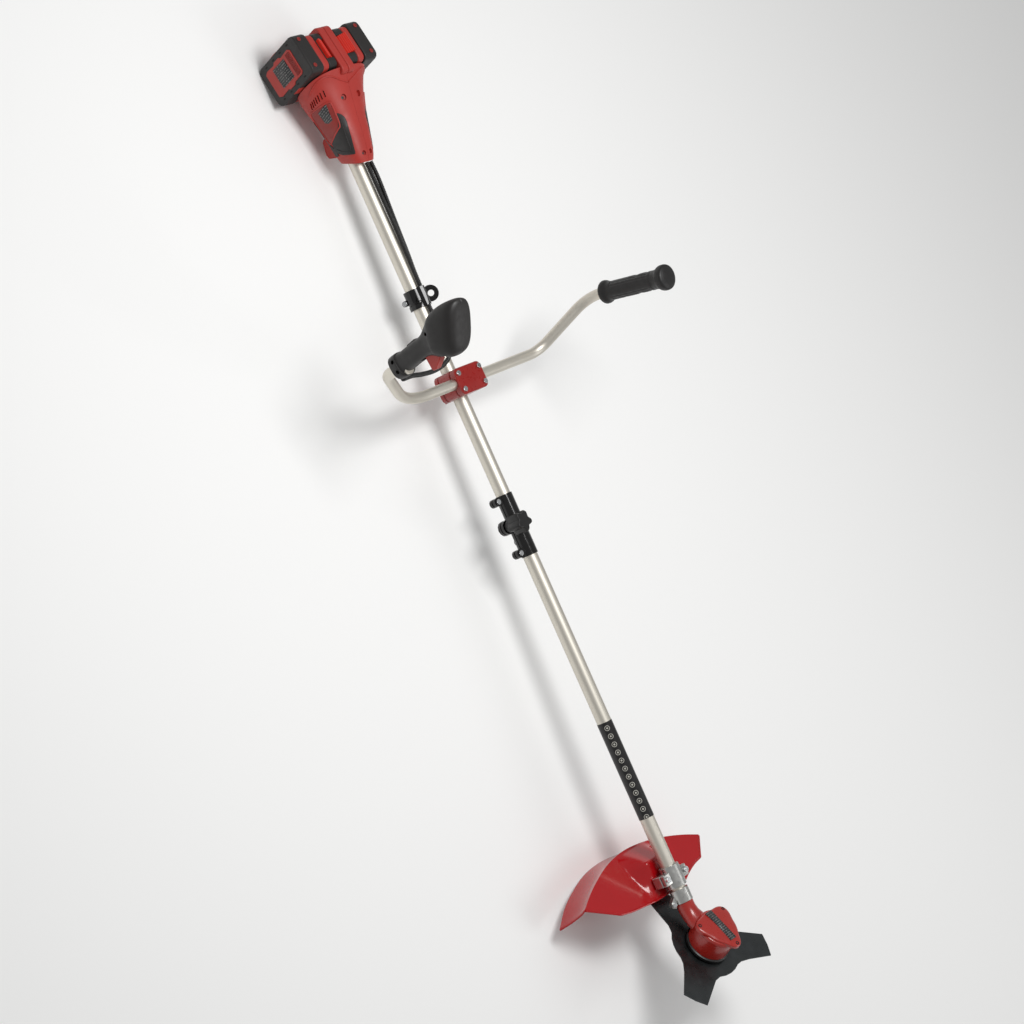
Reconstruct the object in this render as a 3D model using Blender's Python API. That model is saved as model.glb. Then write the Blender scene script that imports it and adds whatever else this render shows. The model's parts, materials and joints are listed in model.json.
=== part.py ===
"""Cordless brush cutter with two battery packs, built as separate parts.

Everything is drawn in the machine's own frame, in millimetres: X runs along the shaft towards the blade,
Y is the operator's left, Z is up from the shaft, and the origin is on the shaft under the handlebar.
The whole machine hangs under one empty, which lays it on the ground on its battery packs and its guard.
"""
from math import atan2, cos, degrees, hypot, pi, radians, sin

import bmesh
import bpy
from mathutils import Matrix, Vector

MM = 0.001
GAP = 0.3
SPLIT_REACH = 900.0

# Resting on the ground: the lean of the shaft that puts the packs and the guard on one plane
LEAN = radians(-3.293)

# Shaft tubes
TUBE_R = 13.0
TUBE_BORE = 11.5
UPPER_TUBE = (-520.0, 259.0)
LOWER_TUBE = (260.0, 966.0)
SLEEVE = (627.0, 805.0)

# Handlebar
BAR_R = 9.5
BAR_BORE = 8.0
BAR_Z = 30.0
KNEE = Vector((0.0, 196.0, BAR_Z))
RIGHT_KNEE_Y = -172.0
RISER_TOP = Vector((-51.0, 259.0, 132.0))
GRIP_END = Vector((-21.0, 263.5, 307.0))
RIGHT_BENDS = (60.0, 108.0)
LEFT_BENDS = (42.0, 80.0)
TRIGGER_BAR_END = 0.30
GRIP_START = 0.21

# Battery packs: A runs forwards, B upwards, leaned back by the tilt of the battery bay
BAY_TILT = radians(12.0)
BAY_CORNER = Vector((-613.4, 0.0, -46.4))
PACK_LENGTH = 108.0
PACK_WIDTH = 70.0
PACK_CORNER = 10.0
CASE_LOW = (-4.0, 0.0)
CASE_HIGH = (71.5, 109.5)
RIB_HALF = 15.5
RAIL_Y = (16.5, 35.7)
BAND_Y = (36.0, 50.7)
CASE_Y = (51.0, 81.0)

# Guard clamp on the lower tube
CLAMP_X = 914.0

# Cutting head: its axis leans back from the shaft's upright
HEAD_TILT = radians(27.6)
HEAD_CENTRE = Vector((1045.0, 0.0, 4.0))
BLADE_R = 128.0
BLADE_HUB_R = 64.0
BLADE_HALF = 1.0
TEETH = 3

# Shaft coupling
COUPLING = (203.5, 315.5)
COUPLING_R = 15.1
LUG_Y = -27.0
LUG_HALF = 6.6
KNOB_X = 257.0
SPRING_BUTTON_X = 287.0

# Trigger handle
HANDLE_AXIS = Vector((-0.118, 0.0, 0.993))
HANDLE_ORIGIN = Vector((-50.0, -257.0, 140.0))


def finish(name, colour, roughness, metallic=0.0):
    """A plain Principled material."""
    material = bpy.data.materials.new(name)
    material.use_nodes = True
    shader = material.node_tree.nodes["Principled BSDF"]
    shader.inputs["Base Color"].default_value = (*colour, 1.0)
    shader.inputs["Roughness"].default_value = roughness
    shader.inputs["Metallic"].default_value = metallic
    return material


def clear_scene():
    for item in list(bpy.data.objects):
        bpy.data.objects.remove(item, do_unlink=True)


def axes_matrix(origin, x_axis, z_axis):
    """Placement of a part drawn about its own origin, with X near x_axis and Z along z_axis."""
    z = Vector(z_axis).normalized()
    x = Vector(x_axis)
    x = (x - z * x.dot(z)).normalized()
    y = z.cross(x)
    turn = Matrix((x, y, z)).transposed().to_4x4()
    return Matrix.Translation(Vector(origin)) @ turn


IDENTITY = Matrix.Identity(4)
UPRIGHT = Matrix(((1, 0, 0, 0), (0, 0, -1, 0), (0, 1, 0, 0), (0, 0, 0, 1)))
BAY = axes_matrix(BAY_CORNER, (cos(BAY_TILT), 0, sin(BAY_TILT)), (-sin(BAY_TILT), 0, cos(BAY_TILT)))
ALONG = axes_matrix((0, 0, 0), (0, 0, 1), (1, 0, 0))
HEAD = axes_matrix(HEAD_CENTRE, (cos(HEAD_TILT), 0, sin(HEAD_TILT)), (-sin(HEAD_TILT), 0, cos(HEAD_TILT)))
HANDLE = axes_matrix(HANDLE_ORIGIN, (1, 0, 0), HANDLE_AXIS)


# ---------------------------------------------------------------- mesh makers, all in millimetres

def box(low, high):
    mesh = bmesh.new()
    bmesh.ops.create_cube(mesh, size=1.0)
    size = Vector(high) - Vector(low)
    centre = (Vector(high) + Vector(low)) / 2
    bmesh.ops.scale(mesh, vec=size, verts=mesh.verts)
    bmesh.ops.translate(mesh, vec=centre, verts=mesh.verts)
    return mesh


def prism(outline, low, high):
    """An outline in X and Y, carried from low to high along Z."""
    mesh = bmesh.new()
    face = mesh.faces.new([mesh.verts.new((x, y, low)) for x, y in outline])
    moved = bmesh.ops.extrude_face_region(mesh, geom=[face])["geom"]
    top = [item for item in moved if isinstance(item, bmesh.types.BMVert)]
    bmesh.ops.translate(mesh, vec=(0, 0, high - low), verts=top)
    bmesh.ops.recalc_face_normals(mesh, faces=mesh.faces)
    return mesh


def side_prism(outline, low, high):
    """An outline in X and Z, carried from low to high along Y."""
    mesh = prism(outline, -high, -low)
    mesh.transform(UPRIGHT)
    return mesh


def turned(profile, steps=32):
    """A closed profile of (radius, height) points, spun about Z."""
    mesh = bmesh.new()
    points = [mesh.verts.new((r, 0, z)) for r, z in profile]
    edges = [mesh.edges.new((points[i], points[(i + 1) % len(points)])) for i in range(len(points))]
    bmesh.ops.spin(mesh, geom=points + edges, cent=(0, 0, 0), axis=(0, 0, 1), angle=2 * pi, steps=steps)
    bmesh.ops.remove_doubles(mesh, verts=mesh.verts, dist=0.001)
    bmesh.ops.dissolve_degenerate(mesh, edges=mesh.edges, dist=0.001)
    lone = [edge for edge in mesh.edges if not edge.link_faces]
    bmesh.ops.delete(mesh, geom=lone, context="EDGES")
    bmesh.ops.recalc_face_normals(mesh, faces=mesh.faces)
    return mesh


def rod(radius, low, high, steps=24):
    mesh = bmesh.new()
    bmesh.ops.create_cone(mesh, cap_ends=True, segments=steps, radius1=radius, radius2=radius,
                          depth=high - low)
    bmesh.ops.translate(mesh, vec=(0, 0, (low + high) / 2), verts=mesh.verts)
    return mesh


def loft(rings):
    """Equal closed rings of points joined one after another, with both ends filled."""
    mesh = bmesh.new()
    loops = [[mesh.verts.new(point) for point in ring] for ring in rings]
    count = len(loops[0])
    for near, far in zip(loops, loops[1:]):
        for i in range(count):
            j = (i + 1) % count
            mesh.faces.new((near[i], near[j], far[j], far[i]))
    mesh.faces.new(list(reversed(loops[0])))
    mesh.faces.new(loops[-1])
    bmesh.ops.recalc_face_normals(mesh, faces=mesh.faces)
    return mesh


def sheet(rows, thickness):
    """A grid of points thickened to one closed skin, downwards from the grid."""
    mesh = bmesh.new()
    grid = [[mesh.verts.new(point) for point in row] for row in rows]
    for near, far in zip(grid, grid[1:]):
        for i in range(len(near) - 1):
            mesh.faces.new((near[i], near[i + 1], far[i + 1], far[i]))
    bmesh.ops.recalc_face_normals(mesh, faces=mesh.faces)
    bmesh.ops.solidify(mesh, geom=mesh.faces[:], thickness=thickness)
    bmesh.ops.recalc_face_normals(mesh, faces=mesh.faces)
    return mesh


def superellipse(half_x, half_y, power, count):
    """Points of a rounded rectangle |x/a|^n + |y/b|^n = 1."""
    points = []
    for i in range(count):
        angle = 2 * pi * i / count
        c = cos(angle)
        s = sin(angle)
        size = (abs(c) ** power + abs(s) ** power) ** (-1 / power)
        points.append((half_x * size * c, half_y * size * s))
    return points


def rounded_outline(low, high, radius, steps=3):
    """A rectangle with round corners, as X and Y points."""
    outline = []
    corners = ((high[0] - radius, high[1] - radius), (low[0] + radius, high[1] - radius),
               (low[0] + radius, low[1] + radius), (high[0] - radius, low[1] + radius))
    for quarter, (cx, cy) in enumerate(corners):
        for i in range(steps + 1):
            angle = pi / 2 * (quarter + i / steps)
            outline.append((cx + radius * cos(angle), cy + radius * sin(angle)))
    return outline


def smooth_route(points, per_span):
    """A Catmull-Rom curve through the points."""
    ends = [points[0] * 2 - points[1], *points, points[-1] * 2 - points[-2]]
    route = []
    for a, b, c, d in zip(ends, ends[1:], ends[2:], ends[3:]):
        for i in range(per_span):
            t = i / per_span
            bend = (2 * b + (c - a) * t + (2 * a - 5 * b + 4 * c - d) * t * t
                    + (3 * b - a - 3 * c + d) * t ** 3)
            route.append(bend / 2)
    return [*route, points[-1]]


def bent_route(corners, radii, steps):
    """Straight runs between the corners, joined by round bends."""
    route = [corners[0]]
    for before, corner, after, radius in zip(corners, corners[1:], corners[2:], radii):
        back = (before - corner).normalized()
        on = (after - corner).normalized()
        half = back.angle(on) / 2
        reach = radius / (sin(half) / cos(half))
        centre = corner + (back + on).normalized() * (radius / sin(half))
        first = (corner + back * reach - centre).normalized()
        last = (corner + on * reach - centre).normalized()
        for i in range(steps + 1):
            route.append(centre + first.slerp(last, i / steps) * radius)
    return [*route, corners[-1]]


def pipe(route, radius, bore, sides=14):
    """A hollow pipe along a route: rings outside on the way out, inside on the way back."""
    rings = []
    side = Vector((1, 0, 0))
    for i, point in enumerate(route):
        ahead = (route[min(i + 1, len(route) - 1)] - route[max(i - 1, 0)]).normalized()
        side = (side - ahead * side.dot(ahead)).normalized()
        up = ahead.cross(side)
        turn = [2 * pi * k / sides for k in range(sides)]
        rings.append([[point + (side * cos(a) + up * sin(a)) * r for a in turn] for r in (radius, bore)])
    mesh = bmesh.new()
    loops = [[mesh.verts.new(p) for p in ring[0]] for ring in rings]
    loops += [[mesh.verts.new(p) for p in ring[1]] for ring in reversed(rings)]
    for near, far in zip(loops, loops[1:] + loops[:1]):
        for i in range(sides):
            j = (i + 1) % sides
            mesh.faces.new((near[i], near[j], far[j], far[i]))
    bmesh.ops.recalc_face_normals(mesh, faces=mesh.faces)
    return mesh


# ---------------------------------------------------------------- objects

def add(name, mesh, material, place=IDENTITY, pivot=None, bevel=0.0, sharp=40.0):
    """Makes the object: its mesh is placed in the machine frame, about the pivot if it has one."""
    mesh.transform(place)
    pivot = Vector(pivot) if pivot is not None else place.translation.copy()
    bmesh.ops.translate(mesh, vec=-pivot, verts=mesh.verts)
    bmesh.ops.scale(mesh, vec=(MM, MM, MM), verts=mesh.verts)
    data = bpy.data.meshes.new(name)
    mesh.to_mesh(data)
    mesh.free()
    data.shade_smooth()
    data.set_sharp_from_angle(angle=radians(sharp))
    item = bpy.data.objects.new(name, data)
    bpy.context.scene.collection.objects.link(item)
    item.parent = bpy.data.objects["machine"]
    item.location = pivot * MM
    if material is not None:
        data.materials.append(material)
    if bevel:
        edge = item.modifiers.new("edge", "BEVEL")
        edge.width = bevel * MM
        edge.segments = 1
        edge.limit_method = "ANGLE"
        edge.angle_limit = radians(50)
    return item


def tool(name, mesh, place=IDENTITY):
    """A cutter or an addition, which is no part itself."""
    item = add(name, mesh, None, place)
    item.hide_render = True
    item.display_type = "WIRE"
    return item


def combine(item, others, operation="DIFFERENCE"):
    for other in others:
        step = item.modifiers.new(other.name, "BOOLEAN")
        step.operation = operation
        step.object = other
        step.solver = "EXACT"


# ---------------------------------------------------------------- rear housing and batteries

# Housing sections: X on the shaft line, lean of the section, half width, bottom, top
HOUSING_SECTIONS = (
    (-548.0, -0.213, 68.5, -24.0, 72.0),
    (-534.0, -0.19, 62.5, -26.0, 62.8),
    (-512.0, -0.10, 51.0, -27.0, 55.5),
    (-486.0, 0.00, 41.0, -26.0, 49.0),
    (-456.0, 0.15, 33.0, -24.0, 43.0),
    (-430.0, 0.30, 28.4, -22.0, 35.6),
    (-417.0, 0.40, 24.0, -20.0, 30.0),
)
HOUSING_POWER = 2.6


def housing_ring(section, shrink=0.0, count=28):
    """One section of the housing, leaned by its own slope."""
    x, lean, half, low, high = section
    middle = (low + high) / 2
    arc = superellipse(half - shrink, (high - low) / 2 - shrink, HOUSING_POWER, count)
    return [Vector((x + lean * (z + middle), y, z + middle)) for y, z in arc]


def other_half(name, side, place=IDENTITY):
    """Cuts a moulding at its parting plane and leaves the half on the given side."""
    y = sorted((side * GAP / 2, -side * SPLIT_REACH))
    return tool(name, box((-SPLIT_REACH, y[0], -SPLIT_REACH), (SPLIT_REACH, y[1], SPLIT_REACH)), place)


def housing_shell(name, side, material):
    """One half of the clamshell: body, its half of the rib between the packs, and its half of the foot."""
    shell = add(name, loft([housing_ring(s) for s in HOUSING_SECTIONS]), material)
    inner = [housing_ring(s, shrink=3.0) for s in HOUSING_SECTIONS]
    inner[0] = [point + Vector((3.0, 0, 0)) for point in inner[0]]
    inner[-1] = [point - Vector((3.0, 0, 0)) for point in inner[-1]]
    hollow = tool(name + "_hollow", loft(inner))
    rib_outline = rounded_outline((-9.0, 2.0), (84.0, 109.0), 10.0)
    rib = tool(name + "_rib", side_prism(rib_outline, -RIB_HALF, RIB_HALF), BAY)
    foot_outline = ((-480.0, -12.0), (-472.0, -41.0), (-443.0, -46.0), (-432.0, -10.0))
    foot = tool(name + "_foot", side_prism(foot_outline, -12.0, 12.0))
    mouth = tool(name + "_mouth", rod(TUBE_R + GAP, -523, -380, 32), ALONG)
    y = sorted((side * (RIB_HALF - 6.0), side * (RIB_HALF + 2.0)))
    pocket = tool(name + "_pocket", box((14.0, y[0], 20.0), (56.0, y[1], 60.0)), BAY)
    combine(shell, [hollow])
    combine(shell, [rib, foot], "UNION")
    combine(shell, [mouth, pocket, other_half(name + "_split", side)])
    return shell


# Side inlay: X of each row, its lower and upper edge
INLAY_STATIONS = ((-494.0, 24.0, 40.0), (-474.0, 8.0, 34.0), (-452.0, -6.0, 26.0), (-434.0, -8.0, 16.0))


def side_inlay(name, side, material):
    """A thin soft panel lying on the housing's flank, widest near the front."""
    rows = []
    for x, low, high in INLAY_STATIONS:
        row = []
        for i in range(5):
            z = low + (high - low) * i / 4
            row.append(Vector((x, side * (flank(x, z) + 1.6), z)))
        rows.append(row)
    if side < 0:
        rows.reverse()
    return add(name, sheet(rows, 1.2), material)


def flank(x, z):
    """Half width of the housing at a point of its side, between the two nearest sections."""
    for near, far in zip(HOUSING_SECTIONS, HOUSING_SECTIONS[1:]):
        start = near[0] + near[1] * z
        end = far[0] + far[1] * z
        if start <= x <= end:
            break
    share = (x - start) / (end - start)
    width = []
    for _, _, half, low, high in (near, far):
        rise = abs(z - (low + high) / 2) / ((high - low) / 2)
        width.append(half * (1 - min(rise, 0.999) ** HOUSING_POWER) ** (1 / HOUSING_POWER))
    return width[0] + (width[1] - width[0]) * share


def battery(label, side, dark, red, bright):
    """One pack: outer case, red band, rail cap against the rib, and the latch button on its top end."""
    slim = rounded_outline((0.0, 0.0), (PACK_WIDTH, PACK_LENGTH), PACK_CORNER)
    full = rounded_outline(CASE_LOW, CASE_HIGH, PACK_CORNER)
    parts = (("case", full, CASE_Y, dark), ("band", slim, BAND_Y, red), ("rail_cap", slim, RAIL_Y, dark))
    made = {}
    for kind, outline, (low, high), material in parts:
        mesh = side_prism(outline, *sorted((side * low, side * high)))
        made[kind] = add(f"battery_{label}_{kind}", mesh, material, BAY, bevel=1.5)
    middle = PACK_WIDTH / 2
    well_y = sorted((side * (RAIL_Y[0] - 5.0), side * (RAIL_Y[1] - 1.1)))
    well = box((middle - 18.4, well_y[0], PACK_LENGTH - 14.0), (middle + 18.4, well_y[1], PACK_LENGTH + 20.0))
    combine(made["rail_cap"], [tool(f"latch_well_{label}", well, BAY)])
    button_y = sorted((side * (RAIL_Y[0] + 0.2), side * (RAIL_Y[1] - 1.5)))
    button = box((middle - 18.0, button_y[0], PACK_LENGTH - 8.0),
                 (middle + 18.0, button_y[1], PACK_LENGTH + 7.0))
    add(f"battery_{label}_latch", button, bright, BAY, bevel=1.2)


def contact_block(name, side, material):
    """The terminal block that the pack's contacts slide onto, in its pocket in the rib."""
    y = sorted((side * (RIB_HALF - 5.6), side * (RIB_HALF - 0.4)))
    return add(name, box((15.0, y[0], 21.0), (55.0, y[1], 59.0)), material, BAY)


def rear_unit(shades):
    for label, side in (("left", 1), ("right", -1)):
        housing_shell(f"housing_{label}_shell", side, shades["moulded red"])
        side_inlay(f"housing_{label}_inlay", side, shades["charcoal"])
        battery(label, side, shades["charcoal"], shades["moulded red"], shades["bright red"])
        contact_block(f"contact_block_{label}", side, shades["black"])
    add("controller_board", box((-532.0, -34.0, 24.0), (-484.0, 34.0, 30.0)), shades["board green"])


# ---------------------------------------------------------------- shaft, cables and sling clamp

LEAD_R = 4.2
HANDLE_LEAD_ROUTE = ((-406, 5, 18.5), (-360, 5.6, 18.1), (-300, 5.8, 17.8), (-240, 4.9, 17.6),
                     (-205, 3.2, 18.0), (-160, 2.4, 18.0), (-122, 2.4, 18.4), (-86, 1, 22.5), (-60, -6, 30),
                     (-45, -26, 38), (-36, -56, 48), (-31.5, -99, 63), (-32, -146, 82), (-34, -190, 104),
                     (-33, -226, 124), (-32, -247, 138), (-32.5, -256, 148.4))
POWER_LEAD_ROUTE = ((-406, 16.6, 17.3), (-370, 17.6, 16.9), (-300, 15.6, 13.9), (-240, 16.2, 9.6),
                    (-205, 17.6, 5.2), (-160, 17.8, 3.7), (-125, 18.2, 4.0), (-109, 18.5, 4.1))


def lead(name, route, material):
    """A corrugated conduit: a round tube along a smooth route."""
    curve = bpy.data.curves.new(name, "CURVE")
    curve.dimensions = "3D"
    curve.bevel_depth = LEAD_R * MM
    curve.bevel_resolution = 2
    curve.render_resolution_u = 0
    curve.use_fill_caps = True
    points = smooth_route([Vector(p) for p in route], 3)
    spline = curve.splines.new("POLY")
    spline.points.add(len(points) - 1)
    for slot, point in zip(spline.points, points):
        slot.co = (*(point * MM), 1.0)
    item = bpy.data.objects.new(name, curve)
    bpy.context.scene.collection.objects.link(item)
    item.parent = bpy.data.objects["machine"]
    curve.materials.append(material)
    return item


def shaft_tube(name, span, material):
    profile = ((TUBE_BORE, span[0]), (TUBE_R, span[0]), (TUBE_R, span[1]), (TUBE_BORE, span[1]))
    return add(name, turned(profile), material, ALONG)


# The clamp's hump over the two leads, outwards and across
SLING_HUMP = ((8, -16.5), (14, -17), (19, -15), (21.2, -11), (21.2, 11), (19, 15), (14, 17), (8, 16.5))


def sling_clamp(material, screw_material):
    """A sprung ring with the sling eye on one side and pinched ears on the other."""
    out = Vector((0, sin(radians(43)), cos(radians(43))))
    place = axes_matrix((-160.0, 0, 0), (1, 0, 0), Vector((1, 0, 0)).cross(out))
    across = axes_matrix((-160.0, 0, 0), out, (1, 0, 0))
    ring = ((0, -17.0), (17.5, -17.0), (17.5, 5.0), (16.3, 6.0), (16.3, 8.0), (17.5, 9.0), (17.5, 17.0),
            (0, 17.0))
    clamp = add("sling_clamp", turned(ring), material, across)
    hump = tool("sling_hump", side_prism(SLING_HUMP, -16.9, 16.9),
                place @ axes_matrix((0, 0, 0), (0, 1, 0), (0, 0, 1)))
    outline = [(14.5 * cos(a), 26.0 + 14.5 * sin(a)) for a in [radians(d) for d in range(-40, 221, 20)]]
    eye = tool("sling_eye_plate", prism([(12.0, 12.0), *outline, (-12.0, 12.0)], -3.0, 3.0), place)
    ear_outline = [(5.0 * cos(a), -21.5 - 5.0 * sin(a)) for a in [radians(d) for d in range(0, 181, 30)]]
    ears = tool("sling_ears", prism([(5.0, -14.5), *ear_outline, (-5.0, -14.5)], -5.0, 5.0), place)
    combine(clamp, [hump, eye, ears], "UNION")
    cuts = [tool("sling_bore", rod(TUBE_R + GAP, -30, 30, 32), across),
            tool("sling_eye_hole", rod(5.5, -10, 10), place @ Matrix.Translation((0, 27.0, 0))),
            tool("sling_slit", box((-40, -40, -0.9), (40, -10.0, 0.9)), place),
            tool("sling_screw_hole", rod(2.3, -12, 12), place @ Matrix.Translation((0, -21.8, 0)))]
    for side in (-1, 1):
        channel = across @ Matrix.Translation((14.8, 10.5 * side, 0))
        cuts.append(tool(f"sling_channel_{side}", rod(LEAD_R + 0.5, -30, 30, 16), channel))
    combine(clamp, cuts)
    screw = ((0, -6.5), (2.0, -6.5), (2.0, 5.3), (4.2, 5.3), (4.2, 8.4), (0, 8.4))
    add("sling_clamp_screw", turned(screw, 16), screw_material,
        place @ Matrix.Translation((0, -21.8, 0)))


def shaft(shades):
    shaft_tube("upper_tube", UPPER_TUBE, shades["aluminium"])
    shaft_tube("lower_tube", LOWER_TUBE, shades["aluminium"])
    skin = ((TUBE_R + 0.1, SLEEVE[0]), (TUBE_R + 0.6, SLEEVE[0]), (TUBE_R + 0.6, SLEEVE[1]),
            (TUBE_R + 0.1, SLEEVE[1]))
    add("label_sleeve", turned(skin), shades["black"], ALONG)
    lead("handle_lead", HANDLE_LEAD_ROUTE, shades["black"])
    lead("power_lead", POWER_LEAD_ROUTE, shades["black"])
    boot = ((0, -108.0), (6.2, -108.0), (6.8, -104.0), (6.8, -88.0), (4.0, -83.0), (0, -82.0))
    seal = add("lead_grommet", turned(boot, 16), shades["black"],
               axes_matrix((0, 18.5, 4.1), (0, 0, 1), (1, 0, 0)), pivot=(-95.0, 18.5, 4.1))
    combine(seal, [tool("grommet_saddle", rod(TUBE_R + GAP, -130, -60, 32), ALONG)])
    sling_clamp(shades["gloss black"], shades["zinc"])


# ---------------------------------------------------------------- handlebar and its bracket

BOLT_X = 14.35
BOLT_Y = 26.45
BRACKET_LAYERS = (("base", -10.0, -GAP), ("middle", GAP, BAR_Z - GAP), ("cap", BAR_Z + GAP, 43.5))


def bar_corners(side):
    return [Vector((p.x, side * p.y, p.z)) for p in (KNEE, RISER_TOP, GRIP_END)]


def handlebar(shades):
    """One bent tube: flat across the bracket, out and up at both ends."""
    right = bar_corners(-1)
    left = bar_corners(1)
    right[2] = right[1].lerp(right[2], TRIGGER_BAR_END)
    right[0].y = RIGHT_KNEE_Y
    route = bent_route([*reversed(right), *left], RIGHT_BENDS + LEFT_BENDS, 5)
    add("handlebar", pipe(route, BAR_R, BAR_BORE), shades["aluminium"])
    start = left[1].lerp(left[2], GRIP_START)
    along = left[2] - start
    end = along.length
    grip = ((BAR_R + 0.3, 0), (19.0, 0), (20.5, 3), (20.0, 8), (17.0, 14), (16.2, 24), (16.8, 60),
            (16.8, 95), (16.2, end - 28), (18.0, end - 18), (21.5, end - 12), (22.5, end - 6), (21.0, end),
            (15.0, end + 3.0), (0, end + 4.0), (0, end + 0.6), (BAR_R + 0.3, end + 0.6))
    add("plain_grip", turned(grip, 24), shades["rubber"], axes_matrix(start, (1, 0, 0), along))


def bracket(shades):
    """Three red castings held by four bolts: they grip the shaft below and the handlebar above."""
    outline = rounded_outline((-23.5, -34.5), (23.5, 34.5), 9.0)
    across = axes_matrix((0, 0, BAR_Z), (0, 0, 1), (0, 1, 0))
    groove = tool("bar_groove", rod(BAR_R + GAP, -60, 60, 32), across)
    bore = tool("shaft_groove", rod(TUBE_R + GAP, -60, 60, 32), ALONG)
    holes = []
    corners = ((-BOLT_X, -BOLT_Y), (BOLT_X, -BOLT_Y), (BOLT_X, BOLT_Y), (-BOLT_X, BOLT_Y))
    for i, (x, y) in enumerate(corners):
        centre = Matrix.Translation((x, y, 0))
        holes.append(tool(f"bolt_hole_{i + 1}", rod(3.0, -40, 60, 12), centre))
        bolt = ((0, -11.0), (2.6, -11.0), (2.6, 43.9), (4.6, 43.9), (4.6, 47.0), (0, 47.0))
        add(f"bracket_bolt_{i + 1}", turned(bolt, 12), shades["zinc"], centre)
    for kind, low, high in BRACKET_LAYERS:
        layer = add(f"bracket_{kind}", prism(outline, low, high), shades["gloss red"], bevel=1.2)
        if kind == "base":
            keel = tool("bracket_keel", box((-23.4, -19.0, -19.5), (23.4, 19.0, low + 2.0)))
            combine(layer, [keel], "UNION")
        combine(layer, {"base": [bore], "middle": [bore, groove], "cap": [groove]}[kind])
        combine(layer, holes)


# ---------------------------------------------------------------- trigger handle

# Handle sections: height on the axis, slope of the section, centre in X, half sizes, centre in Y
HANDLE_SECTIONS = (
    (9.0, 0.00, 0.0, 21.0, 20.0, 0.0),
    (25.0, 0.00, 0.0, 21.0, 20.0, 0.0),
    (30.0, 0.00, -1.0, 17.0, 16.0, 0.0),
    (60.0, 0.00, -2.0, 17.0, 16.0, 0.0),
    (92.0, -0.10, -2.0, 19.0, 17.0, 1.0),
    (112.0, -0.30, -3.0, 29.0, 20.0, 4.0),
    (128.0, -0.50, -2.0, 35.0, 23.0, 8.0),
    (145.0, -0.65, 0.0, 37.0, 24.0, 12.0),
    (158.0, -0.70, 2.0, 35.0, 23.0, 16.0),
    (163.0, -0.716, 3.0, 30.0, 18.0, 17.5),
)
HANDLE_POWER = 2.6
PULL_PIVOT = Vector((17.0, 0.0, 110.0))
LOCK_PIVOT = Vector((-14.0, 0.0, 84.0))


def handle_ring(section, shrink=0.0, count=26):
    height, slope, centre, half_x, half_y, shift = section
    arc = superellipse(half_x - shrink, half_y - shrink, HANDLE_POWER, count)
    return [Vector((centre + x, shift + y, height + slope * (centre + x))) for x, y in arc]


def handle_shell(name, side, cutters, material):
    shell = add(name, loft([handle_ring(s) for s in HANDLE_SECTIONS]), material, HANDLE)
    combine(shell, [*cutters, other_half(name + "_split", side, HANDLE)])
    return shell


def trigger_handle(shades):
    """Two shells closed round the bar's end, with the trigger in front and the lock-off lever behind."""
    inner = [(56.0, *HANDLE_SECTIONS[3][1:]), *HANDLE_SECTIONS[4:8], (154.0, *HANDLE_SECTIONS[8][1:])]
    hollow = tool("handle_hollow", loft([handle_ring(s, shrink=3.2) for s in inner]), HANDLE)
    right = bar_corners(-1)
    up_the_bar = axes_matrix(right[1], (1, 0, 0), right[2] - right[1])
    socket = tool("bar_socket", rod(BAR_R + 1.2, -30, 60), up_the_bar)
    mouth = tool("trigger_mouth", box((-4, -7.6, 66), (60, 7.6, 117)), HANDLE)
    slot = tool("lock_slot", box((-30, -5.5, 48), (-4, 5.5, 87)), HANDLE)
    cutters = [hollow, socket, mouth, slot]
    handle_shell("trigger_handle_left_shell", 1, cutters, shades["charcoal"])
    handle_shell("trigger_handle_right_shell", -1, cutters, shades["charcoal"])
    pull = ((9.0, 77.0), (35.0, 77.0), (39.0, 79.0), (39.0, 86.0), (28.5, 105.0), (21.0, 112.5),
            (13.0, 112.5), (9.0, 100.0))
    add("trigger", side_prism(pull, -7.0, 7.0), shades["moulded red"], HANDLE,
        pivot=HANDLE @ PULL_PIVOT, bevel=1.0)
    lever = ((-20.5, 52.0), (-13.0, 50.0), (-11.0, 85.0), (-17.0, 85.0), (-21.5, 72.0))
    add("lock_off_lever", side_prism(lever, -5.0, 5.0), shades["charcoal"], HANDLE,
        pivot=HANDLE @ LOCK_PIVOT, bevel=0.8)
    add("trigger_switch", box((-10, -5, 118), (10, 9, 132)), shades["black"], HANDLE)


# ---------------------------------------------------------------- shaft coupling

def lug(x, half, name):
    """A pair of clamp lugs on the coupling's right side, round about their screw."""
    outline = [(x + half * cos(a), LUG_Y + half * sin(a)) for a in [radians(d) for d in range(180, 361, 30)]]
    return tool(name, prism([(x - half, -7.3), *outline, (x + half, -7.3)], -LUG_HALF, LUG_HALF))


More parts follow.
